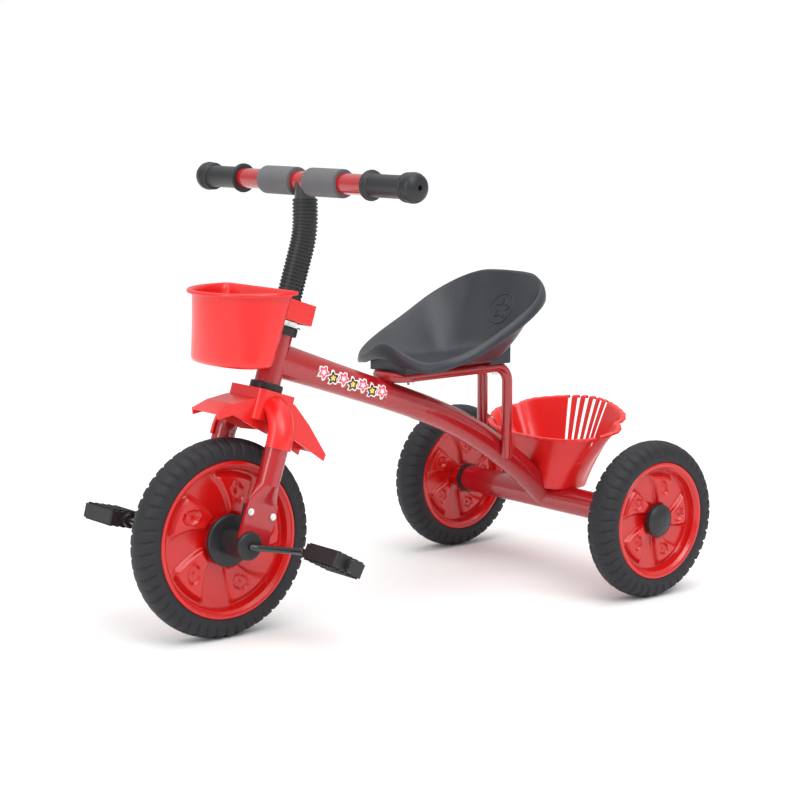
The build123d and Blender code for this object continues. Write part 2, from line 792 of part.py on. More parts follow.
front_hub_radius = 22.0
save(
    build_rim(
        front_x, 0, front_radius, front_rim_radius, front_half_width,
        front_hub_radius, -front_half_width + 3.0, front_half_width - 3.0, crank_radius,
    ),
    "front_rim",
)
save(
    build_tyre(front_x, 0, front_radius, front_radius, front_rim_radius, front_half_width),
    "front_tyre",
)
for side in (-1, 1):
    cover_start = front_half_width - 3.0
    with BuildPart() as hub_cover:
        with BuildSketch(cross_plane(front_x, side * cover_start, front_radius)):
            Circle(hub_cover_radius)
        extrude(amount=side * 5.0)
        with BuildSketch(cross_plane(front_x, side * (cover_start + 5.0), front_radius)):
            Circle(16.0)
        extrude(amount=side * (block_boss_inner - face_gap - cover_start - 5.0))
        with BuildSketch(cross_plane(front_x, side * cover_start, front_radius)):
            Circle(crank_radius)
        extrude(amount=side * 20.0, mode=Mode.SUBTRACT)
        cover_edges = hub_cover.edges().filter_by(GeomType.CIRCLE)
        cover_rim = [
            edge for edge in cover_edges
            if abs(edge.radius - hub_cover_radius) < 0.01
            and abs(edge.arc_center.Y - side * (cover_start + 5.0)) < 0.01
        ]
        fillet(cover_rim, radius=2.5)
    save(hub_cover, "front_hub_cover_" + wheel_side[side])

for side in (-1, 1):
    tag = wheel_side[side]
    hub_ends = sorted((side * (rear_hub_inner - half_track), side * (rear_hub_outer - half_track)))
    rim = build_rim(
        rear_x, side * half_track, rear_radius, rear_rim_radius, rear_half_width,
        rear_hub_radius, hub_ends[0], hub_ends[1], rear_rod_radius + running_fit,
    )
    save(rim, "rear_rim_" + tag)
    tyre = build_tyre(
        rear_x, side * half_track, rear_radius, rear_radius, rear_rim_radius, rear_half_width
    )
    save(tyre, "rear_tyre_" + tag)
    cap_start = rear_hub_outer
    with BuildPart() as hub_cap:
        with BuildSketch(wheel_plane(rear_x, 0, rear_radius)):
            with BuildLine():
                dome_top = cap_start + hub_cap_height
                Line((0, side * (dome_top - 2.0)), (0, side * dome_top))
                ThreePointArc(
                    (0, side * dome_top),
                    (hub_cap_radius * 0.7, side * (dome_top - 2.2)),
                    (hub_cap_radius, side * (dome_top - 6.0)),
                )
                Polyline(
                    (hub_cap_radius, side * (dome_top - 6.0)),
                    (hub_cap_radius, side * (cap_start - 3.5)),
                    (rear_hub_radius, side * (cap_start - 3.5)),
                    (rear_hub_radius, side * (dome_top - 5.0)),
                    (0, side * (dome_top - 2.0)),
                )
            make_face()
        revolve(axis=Axis((rear_x, 0, rear_radius), (0, 1, 0)))
    save(hub_cap, "rear_hub_cap_" + tag)

# ================================================================ front basket
def basket_outline(height, back_x, front_edge, half_width):
    """A closed D: straight back and sides, with a half-ellipse in front."""
    side_run = (front_edge - back_x) * 0.25
    nose = front_edge - back_x - side_run
    with BuildSketch(Plane.XY.offset(height)) as outline:
        with BuildLine():
            corner = 10.0
            start = (back_x + side_run, half_width)
            finish = (back_x + side_run, -half_width)
            Line(start, (back_x + corner, half_width))
            RadiusArc((back_x + corner, half_width), (back_x, half_width - corner), -corner)
            Line((back_x, half_width - corner), (back_x, -half_width + corner))
            RadiusArc((back_x, -half_width + corner), (back_x + corner, -half_width), -corner)
            Line((back_x + corner, -half_width), finish)
            EllipticalCenterArc(
                (back_x + side_run, 0), nose, half_width, start_angle=-90, arc_size=180
            )
        make_face()
    return outline.sketch


def back_at(height):
    """Outer face of the basket's back, which runs parallel to the steering axis."""
    rise = height - head_foot.Z
    foot_x = head_foot.X + basket_back_offset / cos(radians(head_rake))
    return foot_x - rise * tan(radians(head_rake))


basket_nose = rear_x + basket_front
basket_floor = basket_bottom + basket_wall
with BuildPart() as front_basket:
    loft(
        sections=[
            basket_outline(basket_bottom, back_at(basket_bottom), basket_nose - 4, basket_base_half_width),
            basket_outline(basket_top, back_at(basket_top), basket_nose, basket_half_width),
        ]
    )
    with BuildSketch(Plane.XY.offset(basket_top - basket_flange_thickness)):
        add(
            basket_outline(
                basket_top - basket_flange_thickness,
                back_at(basket_top) - 2.0,
                basket_nose + basket_flange,
                basket_half_width + basket_flange,
            )
        )
    extrude(amount=basket_flange_thickness)
    loft(
        sections=[
            basket_outline(
                basket_floor,
                back_at(basket_floor) + basket_wall,
                basket_nose - 4 - basket_wall,
                basket_base_half_width - basket_wall,
            ),
            basket_outline(
                basket_top,
                back_at(basket_top) + basket_wall,
                basket_nose - basket_wall,
                basket_half_width - basket_wall,
            ),
        ],
        mode=Mode.SUBTRACT,
    )
save(front_basket, "front_basket")

# The clip is a loop round the stem, screwed to the basket's back.
clip_inner = sleeve_rib_radius + cover_gap
clip_outer = clip_inner + clip_wall
with BuildPart() as basket_clip:
    with BuildSketch(steer_plane(clip_low)):
        loop_length = clip_rear + basket_back_offset
        with Locations(((basket_back_offset - clip_rear) / 2, 0)):
            RectangleRounded(loop_length, 2 * clip_outer, 1.5)
            Rectangle(loop_length - 2 * clip_wall, 2 * clip_inner, mode=Mode.SUBTRACT)
    extrude(amount=clip_height)
    add(front_basket.part, mode=Mode.SUBTRACT)
save(basket_clip, "basket_clip")

clip_screw_plane = Plane(
    origin=on_steer(basket_back_offset - clip_wall, 0, clip_low + clip_height / 2),
    x_dir=(0, 1, 0),
    z_dir=axis_forward,
)
badge_width = 18.0
badge_height = 40.0
badge_rise = 46.0
with BuildPart() as basket_screws:
    for side in (-1, 1):
        with BuildSketch(clip_screw_plane.offset(clip_wall + basket_wall)):
            with Locations((side * 8.0, 0)):
                Circle(screw_head_radius)
        extrude(amount=screw_head_height)
save(basket_screws, "basket_screws")

with BuildPart() as basket_badge:
    badge_z = basket_bottom + badge_rise
    with BuildSketch(Plane(origin=(basket_nose - 6, 0, badge_z), x_dir=(0, 1, 0), z_dir=(1, 0, 0))):
        Ellipse(badge_width / 2, badge_height / 2)
    extrude(amount=12.0)
    loft(
        sections=[
            basket_outline(basket_bottom, back_at(basket_bottom), basket_nose - 3.4, badge_height * 2),
            basket_outline(basket_top, back_at(basket_top), basket_nose + 0.6, badge_height * 2),
        ],
        mode=Mode.INTERSECT,
    )
    loft(
        sections=[
            basket_outline(basket_bottom, back_at(basket_bottom), basket_nose - 4, basket_base_half_width),
            basket_outline(basket_top, back_at(basket_top), basket_nose, basket_half_width),
        ],
        mode=Mode.SUBTRACT,
    )
save(basket_badge, "basket_badge")

# ================================================================ rear basket
tray_rim_front = (40.0, 187.0)  # ahead of the rear axle, and above the ground
tray_rim_rear = (-88.0, 227.0)
tray_base_z = rear_radius + axle_tube_radius - tray_seat_depth
tray_half = [(0.0, 64.0), (0.16, 98.0), (0.40, 110.0), (0.56, 97.0), (0.78, 78.0), (0.96, 34.0)]


def tray_plane(lift=0.0):
    """The sloping plane of the rear basket's rim, with local x rearwards along it."""
    run = tray_rim_rear[0] - tray_rim_front[0]
    rise = tray_rim_rear[1] - tray_rim_front[1]
    length = sqrt(run * run + rise * rise)
    along = Vector(run / length, 0, rise / length)
    upward = Vector(rise / length, 0, -run / length)
    start = Vector(rear_x + tray_rim_front[0], 0, tray_rim_front[1]) + upward * lift
    return Plane(origin=start, x_dir=along, z_dir=upward), length


def tray_rim_outline(grow, lift=0.0):
    """The rim: wide side lobes, a notch behind them and a rounded rear."""
    plane, length = tray_plane(lift)
    left = [(length * share, -width - grow * 0.8) for share, width in tray_half]
    right = [(x, -y) for x, y in reversed(left)]
    points = [(-grow, 0.0)] + left + [(length + grow, 0.0)] + right
    with BuildSketch(plane) as outline:
        with BuildLine():
            Spline(*points, periodic=True)
        make_face()
    return outline.sketch


def tray_base_outline(grow, z):
    middle = rear_x + (tray_base_front + tray_base_rear) / 2
    half_depth = (tray_base_front - tray_base_rear) / 2 + grow
    half_width = tray_base_half_width + grow
    points = []
    for step in range(14):
        turn = radians(-360.0 * step / 14)
        points.append((middle + half_depth * cos(turn), half_width * sin(turn)))
    with BuildSketch(Plane.XY.offset(z)) as outline:
        with BuildLine():
            Spline(*points, periodic=True)
        make_face()
    return outline.sketch


slot_width = 5.0
slot_pitch = 15.0
slot_length = 40.0
slot_height = 194.0             # centre of the slots above the ground
slot_count = 6
with BuildPart() as rear_basket:
    loft(sections=[tray_base_outline(0.0, tray_base_z), tray_rim_outline(0.0)])
    with BuildSketch(tray_plane(-tray_flange_thickness)[0]):
        add(tray_rim_outline(tray_flange, -tray_flange_thickness))
    extrude(amount=tray_flange_thickness)
    loft(
        sections=[
            tray_base_outline(-tray_wall, tray_base_z + tray_wall + tray_seat_depth),
            tray_rim_outline(-tray_wall, 0.02),
        ],
        mode=Mode.SUBTRACT,
    )
    with BuildSketch(Plane(origin=(rear_x - 40, 0, 0), x_dir=(0, -1, 0), z_dir=(-1, 0, 0))):
        for index in range(slot_count):
            slot_y = (index - (slot_count - 1) / 2) * slot_pitch
            with Locations(Location((slot_y, slot_height))):
                SlotOverall(slot_length, slot_width, rotation=90)
    extrude(amount=80.0, mode=Mode.SUBTRACT)
    add(axle_tube_body.part, mode=Mode.SUBTRACT)
    add(main_tube_body.part, mode=Mode.SUBTRACT)
rear_basket.part = largest(rear_basket)
save(rear_basket, "rear_basket")

with BuildPart() as rear_basket_screws:
    with BuildSketch(Plane.XY.offset(tray_base_z + tray_wall + tray_seat_depth)):
        with Locations((rear_x, -30.0), (rear_x, 30.0)):
            Circle(screw_head_radius)
    extrude(amount=screw_head_height)
save(rear_basket_screws, "rear_basket_screws")

# ================================================================ mudguard
guard_top = [(552, 275), (530, 283), (503, 287), (470, 288), (441, 273), (420, 246), (396, 208)]
guard_skirt = [(399, 200), (420, 215), (452, 237), (484, 243), (508, 257), (530, 270), (551, 267)]
guard_low = -46.0
guard_high = -(bush_lower_height + face_gap)
lobe_radius = fork_tube_radius + cover_gap + guard_wall
lobe_low = -74.0


def guard_profile(drop, margin):
    """Side view of the wing: the top line lowered by drop, the skirt lowered by margin."""
    top = [(rear_x + x, z - drop) for x, z in guard_top]
    skirt = [(rear_x + x, z - margin) for x, z in guard_skirt]
    return top + skirt


def fork_run(radius, low):
    """A solid of the given radius along the fork, from a height on each leg."""
    with BuildLine(fork_plane) as run_line:
        FilletPolyline(
            (-fork_half_width, low),
            (-fork_half_width, crown_up),
            (fork_half_width, crown_up),
            (fork_half_width, low),
            radius=fork_bend_radius,
        )
    with BuildPart() as run:
        with BuildSketch(steer_plane(low, fork_offset, -fork_half_width)):
            Circle(radius)
        sweep(path=run_line.wire())
    return run.part


with BuildPart() as guard_lobes:
    add(fork_run(lobe_radius, lobe_low))
    with BuildSketch(fork_plane.offset(-2 * lobe_radius)):
        with Locations((0, crown_up - 60.0)):
            RectangleRounded(2 * fork_half_width, 120.0, fork_bend_radius)
    extrude(amount=4 * lobe_radius, mode=Mode.SUBTRACT)
    with BuildSketch(fork_plane.offset(-2 * lobe_radius)):
        with Locations((0, crown_up - 100.0)):
            Rectangle(2 * fork_half_width, 120.0)
    extrude(amount=4 * lobe_radius, mode=Mode.SUBTRACT)

with BuildPart() as mudguard:
    with BuildSketch(side_plane(guard_half_width)):
        with BuildLine():
            Polyline(*guard_profile(0.0, 0.0), close=True)
        make_face()
    extrude(amount=2 * guard_half_width)
    with BuildSketch(steer_plane(guard_low)):
        with Locations(((guard_cap_front - guard_cap_rear) / 2, 0)):
            RectangleRounded(guard_cap_front + guard_cap_rear, 2 * guard_cap_half_width, 9.0)
    extrude(amount=guard_high - guard_low)
    add(guard_lobes.part)
    with BuildSketch(side_plane(guard_half_width - guard_wall)):
        with BuildLine():
            Polyline(*guard_profile(guard_wall, 12.0), close=True)
        make_face()
    extrude(amount=2 * (guard_half_width - guard_wall), mode=Mode.SUBTRACT)
    with BuildSketch(steer_plane(guard_low)):
        with Locations(((guard_cap_front - guard_cap_rear) / 2, 0)):
            RectangleRounded(
                guard_cap_front + guard_cap_rear - 2 * guard_wall,
                2 * (guard_cap_half_width - guard_wall),
                9.0 - guard_wall,
            )
    extrude(amount=guard_high - guard_low - guard_wall, mode=Mode.SUBTRACT)
    add(fork_run(fork_tube_radius + cover_gap, lobe_low - 10.0), mode=Mode.SUBTRACT)
    with BuildSketch(steer_plane(lobe_low)):
        Circle(steerer_radius + cover_gap)
    extrude(amount=-lobe_low, mode=Mode.SUBTRACT)
mudguard.part = largest(mudguard)
save(mudguard, "mudguard")

# ================================================================ seat
# Each row: distance ahead of the rear axle, half width, rim height, height a third
# of the way in, height at the middle, and upright thickness.
seat_rows = [
    (288.0, 30.0, 322.0, 325.0, 328.0, 4.0),
    (272.0, 66.0, 309.0, 310.0, 317.5, 4.0),
    (250.0, 89.0, 313.0, 304.0, 306.0, 3.8),
    (217.0, 101.0, 325.0, 303.5, 300.0, 3.6),
    (172.0, 103.0, 344.0, 305.5, 300.0, 3.6),
    (130.0, 98.0, 364.0, 315.0, 300.0, 3.8),
    (100.0, 87.0, 380.0, 338.0, 312.0, 6.0),
    (78.0, 66.0, 395.0, 373.0, 350.0, 8.5),
    (62.0, 34.0, 404.0, 397.0, 389.0, 9.0),
]


def raised(points, edge, middle):
    """The points moved off their own line to its left, by edge at its ends."""
    moved = []
    last = len(points) - 1
    for index, (y, z) in enumerate(points):
        before = points[max(index - 1, 0)]
        after = points[min(index + 1, last)]
        run, rise = after[0] - before[0], after[1] - before[1]
        length = sqrt(run * run + rise * rise)
        inwards = 1 - abs(2 * index - last) / last
        thick = edge + (middle - edge) * inwards
        moved.append((y - rise / length * thick, z + run / length * thick))
    return moved


seat_sections = []
for ahead, half, rim_z, third_z, middle_z, upright in seat_rows:
    steep = third_z + (rim_z - third_z) * 0.42
    right_side = [(half * 0.62, third_z), (half * 0.93, steep), (half, rim_z)]
    left_side = [(-y, z) for y, z in reversed(right_side)]
    lower = left_side + [(0, middle_z)] + right_side
    upper = raised(lower, seat_thickness, upright)
    with BuildSketch(Plane(origin=(rear_x + ahead, 0, 0), x_dir=(0, 1, 0), z_dir=(1, 0, 0))) as row:
        with BuildLine():
            Spline(*lower)
            Line(lower[-1], upper[-1])
            Spline(*reversed(upper))
            Line(upper[0], lower[0])
        make_face()
    seat_sections.append(row.sketch)

with BuildPart() as seat_shell:
    loft(sections=seat_sections)
save(seat_shell, "seat_shell")

block_length = 36.0
block_width = 2 * seat_rail_y + 24.0
block_sink = 2.0
block_cover = 45.0              # taller than the space under the seat, then cut to it
block_corner = 3.0
block_offcut = 1500.0           # pieces smaller than this, in mm3, are dropped
bolt_radius = 2.5
bolt_head_radius = 4.6
bolt_head_height = 3.0
bolt_reach = 3.0
bolt_seat = 0.6                 # how far the head beds into the round of the rail
rail_top = seat_rail_height + seat_tube_radius
block_sites = {
    "seat_block_front": rear_x + 260.0,
    "seat_block_rear": rear_x + 119.0,
}
bolt_sites = [(x, side * seat_rail_y) for x in block_sites.values() for side in (-1, 1)]
for name, block_x in block_sites.items():
    with BuildPart() as seat_block:
        with BuildSketch(Plane.XY.offset(rail_top - block_sink)):
            with Locations((block_x, 0)):
                RectangleRounded(block_length, block_width, block_corner)
        extrude(amount=block_cover)
        add(seat_shell.part, mode=Mode.SUBTRACT)
        add(seat_frame_tube.part, mode=Mode.SUBTRACT)
        with BuildSketch(Plane.XY.offset(rail_top - block_sink)):
            with Locations(*bolt_sites):
                Circle(bolt_radius)
        extrude(amount=block_sink + bolt_reach, mode=Mode.SUBTRACT)
    pieces = [solid for solid in seat_block.part.solids() if solid.volume > block_offcut]
    lowest = sorted(pieces, key=lambda solid: solid.center().Z)[0]
    seat_block.part = Part(Compound([lowest]).wrapped)
    save(seat_block, name)

rail_bottom = seat_rail_height - seat_tube_radius
with seat_frame_tube:
    with BuildSketch(Plane.XY.offset(rail_bottom - 1.0)):
        with Locations(*bolt_sites):
            Circle(bolt_radius)
    extrude(amount=2 * seat_tube_radius + 2.0, mode=Mode.SUBTRACT)
save(seat_frame_tube, "seat_frame_tube")

with BuildPart() as seat_bolts:
    with BuildSketch(Plane.XY.offset(rail_bottom + bolt_seat)):
        with Locations(*bolt_sites):
            Circle(bolt_head_radius)
    extrude(amount=-bolt_head_height - bolt_seat)
    with BuildSketch(Plane.XY.offset(rail_bottom)):
        with Locations(*bolt_sites):
            Circle(bolt_radius)
    extrude(amount=2 * seat_tube_radius + bolt_reach)
    add(seat_frame_tube.part, mode=Mode.SUBTRACT)
bolt_solids = seat_bolts.part.solids().sort_by(SortBy.VOLUME)[-len(bolt_sites):]
seat_bolts.part = Part(Compound(bolt_solids).wrapped)
save(seat_bolts, "seat_bolts")

# ================================================================ decals
decal_length = 116.0
decal_height = 20.0
decal_centre = 346.0            # ahead of the rear axle
decal_thickness = 0.4
decal_x = rear_x + decal_centre
decal_z = main_start.Z - (main_start.X - decal_x) * tan(radians(main_slope))
with BuildPart() as frame_decals:
    loft(sections=main_sections(-decal_thickness))
    decal_plane = Plane(
        origin=(decal_x, main_front_width, decal_z),
        x_dir=(cos(radians(main_slope)), 0, sin(radians(main_slope))),
        z_dir=(0, -1, 0),
    )
    with BuildSketch(decal_plane):
        SlotOverall(decal_length, decal_height)
    extrude(amount=2 * main_front_width, mode=Mode.INTERSECT)
    add(main_tube_body.part, mode=Mode.SUBTRACT)
save(frame_decals, "frame_decals")
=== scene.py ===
"""The looks of a children's tricycle: red steel frame, moulded baskets and foam-tyred wheels."""

import json
from math import atan2, cos, hypot, pi, radians, sin

import bmesh
import bpy
from mathutils import Matrix, Vector
from mathutils.bvhtree import BVHTree


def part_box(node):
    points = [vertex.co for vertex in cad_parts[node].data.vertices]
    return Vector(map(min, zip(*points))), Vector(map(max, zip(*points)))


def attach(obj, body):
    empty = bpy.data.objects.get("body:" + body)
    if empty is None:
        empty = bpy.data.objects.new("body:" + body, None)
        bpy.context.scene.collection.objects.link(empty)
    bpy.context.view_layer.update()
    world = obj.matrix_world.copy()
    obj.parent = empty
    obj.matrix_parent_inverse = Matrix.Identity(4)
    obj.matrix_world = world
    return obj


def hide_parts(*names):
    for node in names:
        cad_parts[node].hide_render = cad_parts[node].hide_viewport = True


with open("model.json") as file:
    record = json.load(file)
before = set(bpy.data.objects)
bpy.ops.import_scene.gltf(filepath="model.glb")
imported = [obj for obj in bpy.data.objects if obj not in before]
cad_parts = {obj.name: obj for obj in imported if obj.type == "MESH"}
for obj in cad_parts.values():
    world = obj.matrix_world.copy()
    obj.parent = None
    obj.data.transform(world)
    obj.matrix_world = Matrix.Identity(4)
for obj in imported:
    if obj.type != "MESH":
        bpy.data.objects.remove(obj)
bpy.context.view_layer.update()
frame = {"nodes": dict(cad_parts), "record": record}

MM = 0.001
TURN = 2 * pi


# ================================================================ shader helpers
class Wire:
    """A value in a material's node tree that takes + - * / and powers."""

    def __init__(self, finish, socket):
        self.finish = finish
        self.socket = socket

    def _math(self, operation, first, second=0.0):
        return self.finish.math(operation, first, second)

    def __add__(self, other):
        return self._math("ADD", self, other)

    def __radd__(self, other):
        return self._math("ADD", other, self)

    def __sub__(self, other):
        return self._math("SUBTRACT", self, other)

    def __rsub__(self, other):
        return self._math("SUBTRACT", other, self)

    def __mul__(self, other):
        return self._math("MULTIPLY", self, other)

    def __rmul__(self, other):
        return self._math("MULTIPLY", other, self)

    def __truediv__(self, other):
        return self._math("DIVIDE", self, other)

    def __pow__(self, other):
        return self._math("POWER", self, other)


class Finish:
    """One material: a Principled shader and the nodes that feed it."""

    def __init__(self, name):
        self.material = bpy.data.materials.new(name)
        self.material.use_nodes = True
        self.tree = self.material.node_tree
        self.shader = self.tree.nodes["Principled BSDF"]
        self.place = self.node("ShaderNodeTexCoord").outputs["Object"]

    def node(self, kind, settings=None, inputs=None):
        made = self.tree.nodes.new(kind)
        for key, value in (settings or {}).items():
            setattr(made, key, value)
        for key, value in (inputs or {}).items():
            self.feed(made.inputs[key], value)
        return made

    def feed(self, socket, value):
        if isinstance(value, Wire):
            value = value.socket
        if isinstance(value, bpy.types.NodeSocket):
            self.tree.links.new(value, socket)
        else:
            socket.default_value = value

    def math(self, operation, first, second=0.0):
        made = self.node("ShaderNodeMath", {"operation": operation}, {0: first, 1: second})
        return Wire(self, made.outputs[0])

    def axes(self, vector=None):
        split = self.node("ShaderNodeSeparateXYZ", None, {0: vector or self.place})
        return [Wire(self, socket) for socket in split.outputs]

    def noise(self, scale, detail=3.0, roughness=0.5, vector=None):
        made = self.node(
            "ShaderNodeTexNoise",
            None,
            {"Vector": vector or self.place, "Scale": scale, "Detail": detail, "Roughness": roughness},
        )
        return Wire(self, made.outputs[0])

    def cells(self, scale, feature="F1"):
        made = self.node("ShaderNodeTexVoronoi", {"feature": feature}, {"Vector": self.place, "Scale": scale})
        return Wire(self, made.outputs[0])

    def between(self, value, low, high, to_low=0.0, to_high=1.0):
        made = self.node(
            "ShaderNodeMapRange",
            {"interpolation_type": "SMOOTHSTEP"},
            {0: value, 1: low, 2: high, 3: to_low, 4: to_high},
        )
        return Wire(self, made.outputs[0])

    def blend(self, factor, first, second):
        made = self.node("ShaderNodeMix", {"data_type": "RGBA"}, {0: factor, 6: first, 7: second})
        return made.outputs[2]

    def bump(self, height, distance, strength=1.0):
        made = self.node(
            "ShaderNodeBump", None, {"Height": height, "Distance": distance, "Strength": strength}
        )
        return made.outputs[0]

    def set(self, **values):
        names = {
            "colour": "Base Color",
            "roughness": "Roughness",
            "metallic": "Metallic",
            "normal": "Normal",
            "coat": "Coat Weight",
            "coat_roughness": "Coat Roughness",
            "alpha": "Alpha",
            "sheen": "Sheen Weight",
            "specular": "Specular IOR Level",
            "subsurface": "Subsurface Weight",
            "subsurface_scale": "Subsurface Scale",
        }
        for key, value in values.items():
            self.feed(self.shader.inputs[names[key]], value)
        return self.material


def rgb(red, green, blue):
    return (red, green, blue, 1.0)


# ================================================================ finishes
def red_enamel():
    """Stove enamel on the steel tubes: deep crimson, wet gloss, faint orange peel."""
    finish = Finish("red_enamel")
    drift = finish.noise(9.0, 2.0)
    specks = finish.between(finish.noise(900.0, 2.0), 0.70, 0.76)
    scuffs = finish.between(finish.noise(60.0, 8.0, 0.7), 0.62, 0.75)
    colour = finish.blend(drift, rgb(0.33, 0.004, 0.008), rgb(0.44, 0.007, 0.012))
    colour = finish.blend(specks * 0.35, colour, rgb(0.72, 0.10, 0.10))
    return finish.set(
        colour=colour,
        roughness=0.20 + drift * 0.10 + scuffs * 0.16,
        coat=0.75,
        coat_roughness=0.06,
        normal=finish.bump(finish.noise(260.0, 2.0) + finish.noise(1400.0, 1.0) * 0.1, 0.00012),
    )


def moulded_red(name, deep, pale, gloss):
    """Red polypropylene: slightly milky, with flow marks and a fine mould texture."""
    finish = Finish(name)
    flow = finish.noise(14.0, 4.0, 0.55)
    scuffs = finish.between(finish.noise(85.0, 9.0, 0.75), 0.60, 0.74)
    colour = finish.blend(flow, deep, pale)
    colour = finish.blend(scuffs * 0.10, colour, rgb(0.95, 0.25, 0.20))
    grain = finish.noise(420.0, 3.0) * 0.6 + finish.noise(2400.0, 1.0) * 0.15
    return finish.set(
        colour=colour,
        roughness=gloss + flow * 0.10 + scuffs * 0.12,
        coat=0.30,
        coat_roughness=0.12,
        subsurface=0.06,
        subsurface_scale=0.004,
        normal=finish.bump(grain, 0.00010),
    )


def black_enamel():
    finish = Finish("black_enamel")
    drift = finish.noise(24.0, 3.0)
    wear = finish.between(finish.noise(140.0, 8.0, 0.7), 0.64, 0.76)
    return finish.set(
        colour=finish.blend(wear * 0.5, rgb(0.012, 0.012, 0.014), rgb(0.07, 0.07, 0.075)),
        roughness=0.22 + drift * 0.12 + wear * 0.2,
        coat=0.5,
        coat_roughness=0.08,
        normal=finish.bump(finish.noise(300.0, 2.0), 0.0001),
    )


def black_moulding(name, dark, light, base_roughness, grain_scale, grain_depth):
    """Black moulded plastic with a spark-eroded grain and pale rubbed patches."""
    finish = Finish(name)
    grain = finish.cells(grain_scale) * 0.8 + finish.noise(grain_scale * 2.2, 2.0) * 0.5
    drift = finish.noise(18.0, 3.0)
    rubbed = finish.between(finish.noise(70.0, 8.0, 0.72), 0.58, 0.76)
    return finish.set(
        colour=finish.blend(drift * 0.55 + rubbed * 0.35, dark, light),
        roughness=base_roughness + drift * 0.12 + rubbed * 0.10,
        specular=0.45,
        normal=finish.bump(grain, grain_depth),
    )


def zinc_plate():
    finish = Finish("zinc_plate")
    brushed = finish.noise(500.0, 4.0, 0.6)
    dull = finish.between(finish.noise(160.0, 5.0), 0.45, 0.7)
    return finish.set(
        colour=finish.blend(dull, rgb(0.78, 0.78, 0.77), rgb(0.56, 0.57, 0.58)),
        roughness=0.20 + brushed * 0.14 + dull * 0.12,
        metallic=1.0,
        normal=finish.bump(brushed, 0.00006),
    )


def tyre_foam():
    """Closed-cell foam rubber: matt charcoal with pores, scuffs and pale road dust."""
    finish = Finish("tyre_foam")
    pores = finish.cells(1500.0)
    drift = finish.noise(16.0, 4.0, 0.6)
    dust = finish.between(finish.noise(48.0, 9.0, 0.75), 0.56, 0.78)
    colour = finish.blend(drift, rgb(0.010, 0.010, 0.013), rgb(0.020, 0.020, 0.025))
    colour = finish.blend(dust * 0.25, colour, rgb(0.06, 0.06, 0.066))
    return finish.set(
        colour=colour,
        roughness=0.52 + drift * 0.16 + dust * 0.14,
        specular=0.38,
        normal=finish.bump(pores * 0.6 + finish.noise(520.0, 3.0) * 0.5, 0.00022),
    )


def sleeve_foam():
    """Soft grey bar foam with open cells, their hollows darkened as painted shade."""
    finish = Finish("sleeve_foam")
    cells = finish.cells(2100.0)
    drift = finish.noise(30.0, 4.0)
    colour = finish.blend(drift, rgb(0.085, 0.085, 0.092), rgb(0.135, 0.135, 0.142))
    # Painted shade: each open cell is darkened towards its middle, standing in for the shade inside the pore.
    colour = finish.blend(finish.between(cells, 0.0, 0.35, 0.5, 0.0), colour, rgb(0.03, 0.03, 0.033))
    return finish.set(
        colour=colour,
        roughness=0.86,
        sheen=0.25,
        specular=0.2,
        normal=finish.bump(cells, 0.00030),
    )


DECAL_SLOPE = 19.6              # the main tube's fall towards the rear, degrees


def star_label():
    """A printed strip of small bordered stars on clear film along the main tube."""
    finish = Finish("star_label")
    low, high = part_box("frame_decals")
    slope = radians(DECAL_SLOPE)
    x, _, z = finish.axes()
    ahead = x - (low.x + high.x) / 2
    above = z - (low.z + high.z) / 2
    along = ahead * cos(slope) + above * sin(slope)
    across = above * cos(slope) - ahead * sin(slope)
    pitch = 0.0158
    cell = along / pitch + 0.5
    index = finish.math("FLOOR", cell)
    odd = finish.math("PINGPONG", index, 1.0)
    u = (cell - index - 0.5) * pitch
    v = across - (odd - 0.5) * 0.0030
    reach = finish.math("SQRT", u * u + v * v)
    turn = finish.math("ARCTAN2", v, u) + odd * 0.6
    point = finish.math("COSINE", turn * 5.0)
    star = reach / (0.0062 + point * 0.0015)
    film = finish.between(finish.math("ABSOLUTE", along), 0.0553, 0.0560, 1.0, 0.0)
    border = finish.between(star, 1.30, 1.38, 1.0, 0.0) * film
    ink = finish.between(star, 0.98, 1.06, 1.0, 0.0)
    core = finish.between(star, 0.45, 0.56, 1.0, 0.0)
    warm = finish.blend(odd, rgb(0.010, 0.010, 0.012), rgb(0.78, 0.06, 0.16))
    heart = finish.blend(odd, rgb(0.95, 0.62, 0.05), rgb(0.95, 0.78, 0.80))
    colour = finish.blend(ink, rgb(0.93, 0.90, 0.84), warm)
    colour = finish.blend(core, colour, heart)
    return finish.set(
        colour=colour,
        alpha=border,
        roughness=0.24 + finish.noise(90.0) * 0.08,
        coat=0.5,
        coat_roughness=0.05,
    )


def oval_badge():
    """A white oval badge, shaded bluish grey towards the bottom as painted shade, with a dark border, a red
    drop and a small wave.
    """
    finish = Finish("oval_badge")
    low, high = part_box("basket_badge")
    _, y, z = finish.axes()
    across = y * (1 / 0.009)
    above = (z - (low.z + high.z) / 2) * (1 / 0.020)
    oval = finish.math("SQRT", across * across + above * above)
    ring = finish.between(oval, 0.80, 0.84) - finish.between(oval, 0.90, 0.94)
    lift = above - 0.18
    drop = finish.math("SQRT", across * across * 2.6 + lift * lift * 5.0)
    drop_ring = finish.between(drop, 0.56, 0.64, 1.0, 0.0) - finish.between(drop, 0.26, 0.34, 1.0, 0.0)
    wave_line = above + 0.52 + finish.math("SINE", across * 4.0) * 0.05
    wave = finish.between(finish.math("ABSOLUTE", wave_line), 0.035, 0.06, 1.0, 0.0)
    wave = wave * finish.between(finish.math("ABSOLUTE", across), 0.45, 0.5, 1.0, 0.0)
    # Painted shade: the white runs down to a bluish grey towards the bottom of the badge.
    colour = finish.blend(above * 0.5 + 0.5, rgb(0.70, 0.74, 0.82), rgb(0.93, 0.93, 0.94))
    colour = finish.blend(drop_ring, colour, rgb(0.62, 0.02, 0.03))
    colour = finish.blend(finish.math("MAXIMUM", ring, wave), colour, rgb(0.016, 0.018, 0.03))
    return finish.set(
        colour=colour, roughness=0.22 + finish.noise(120.0) * 0.06, coat=0.5, coat_roughness=0.05
    )


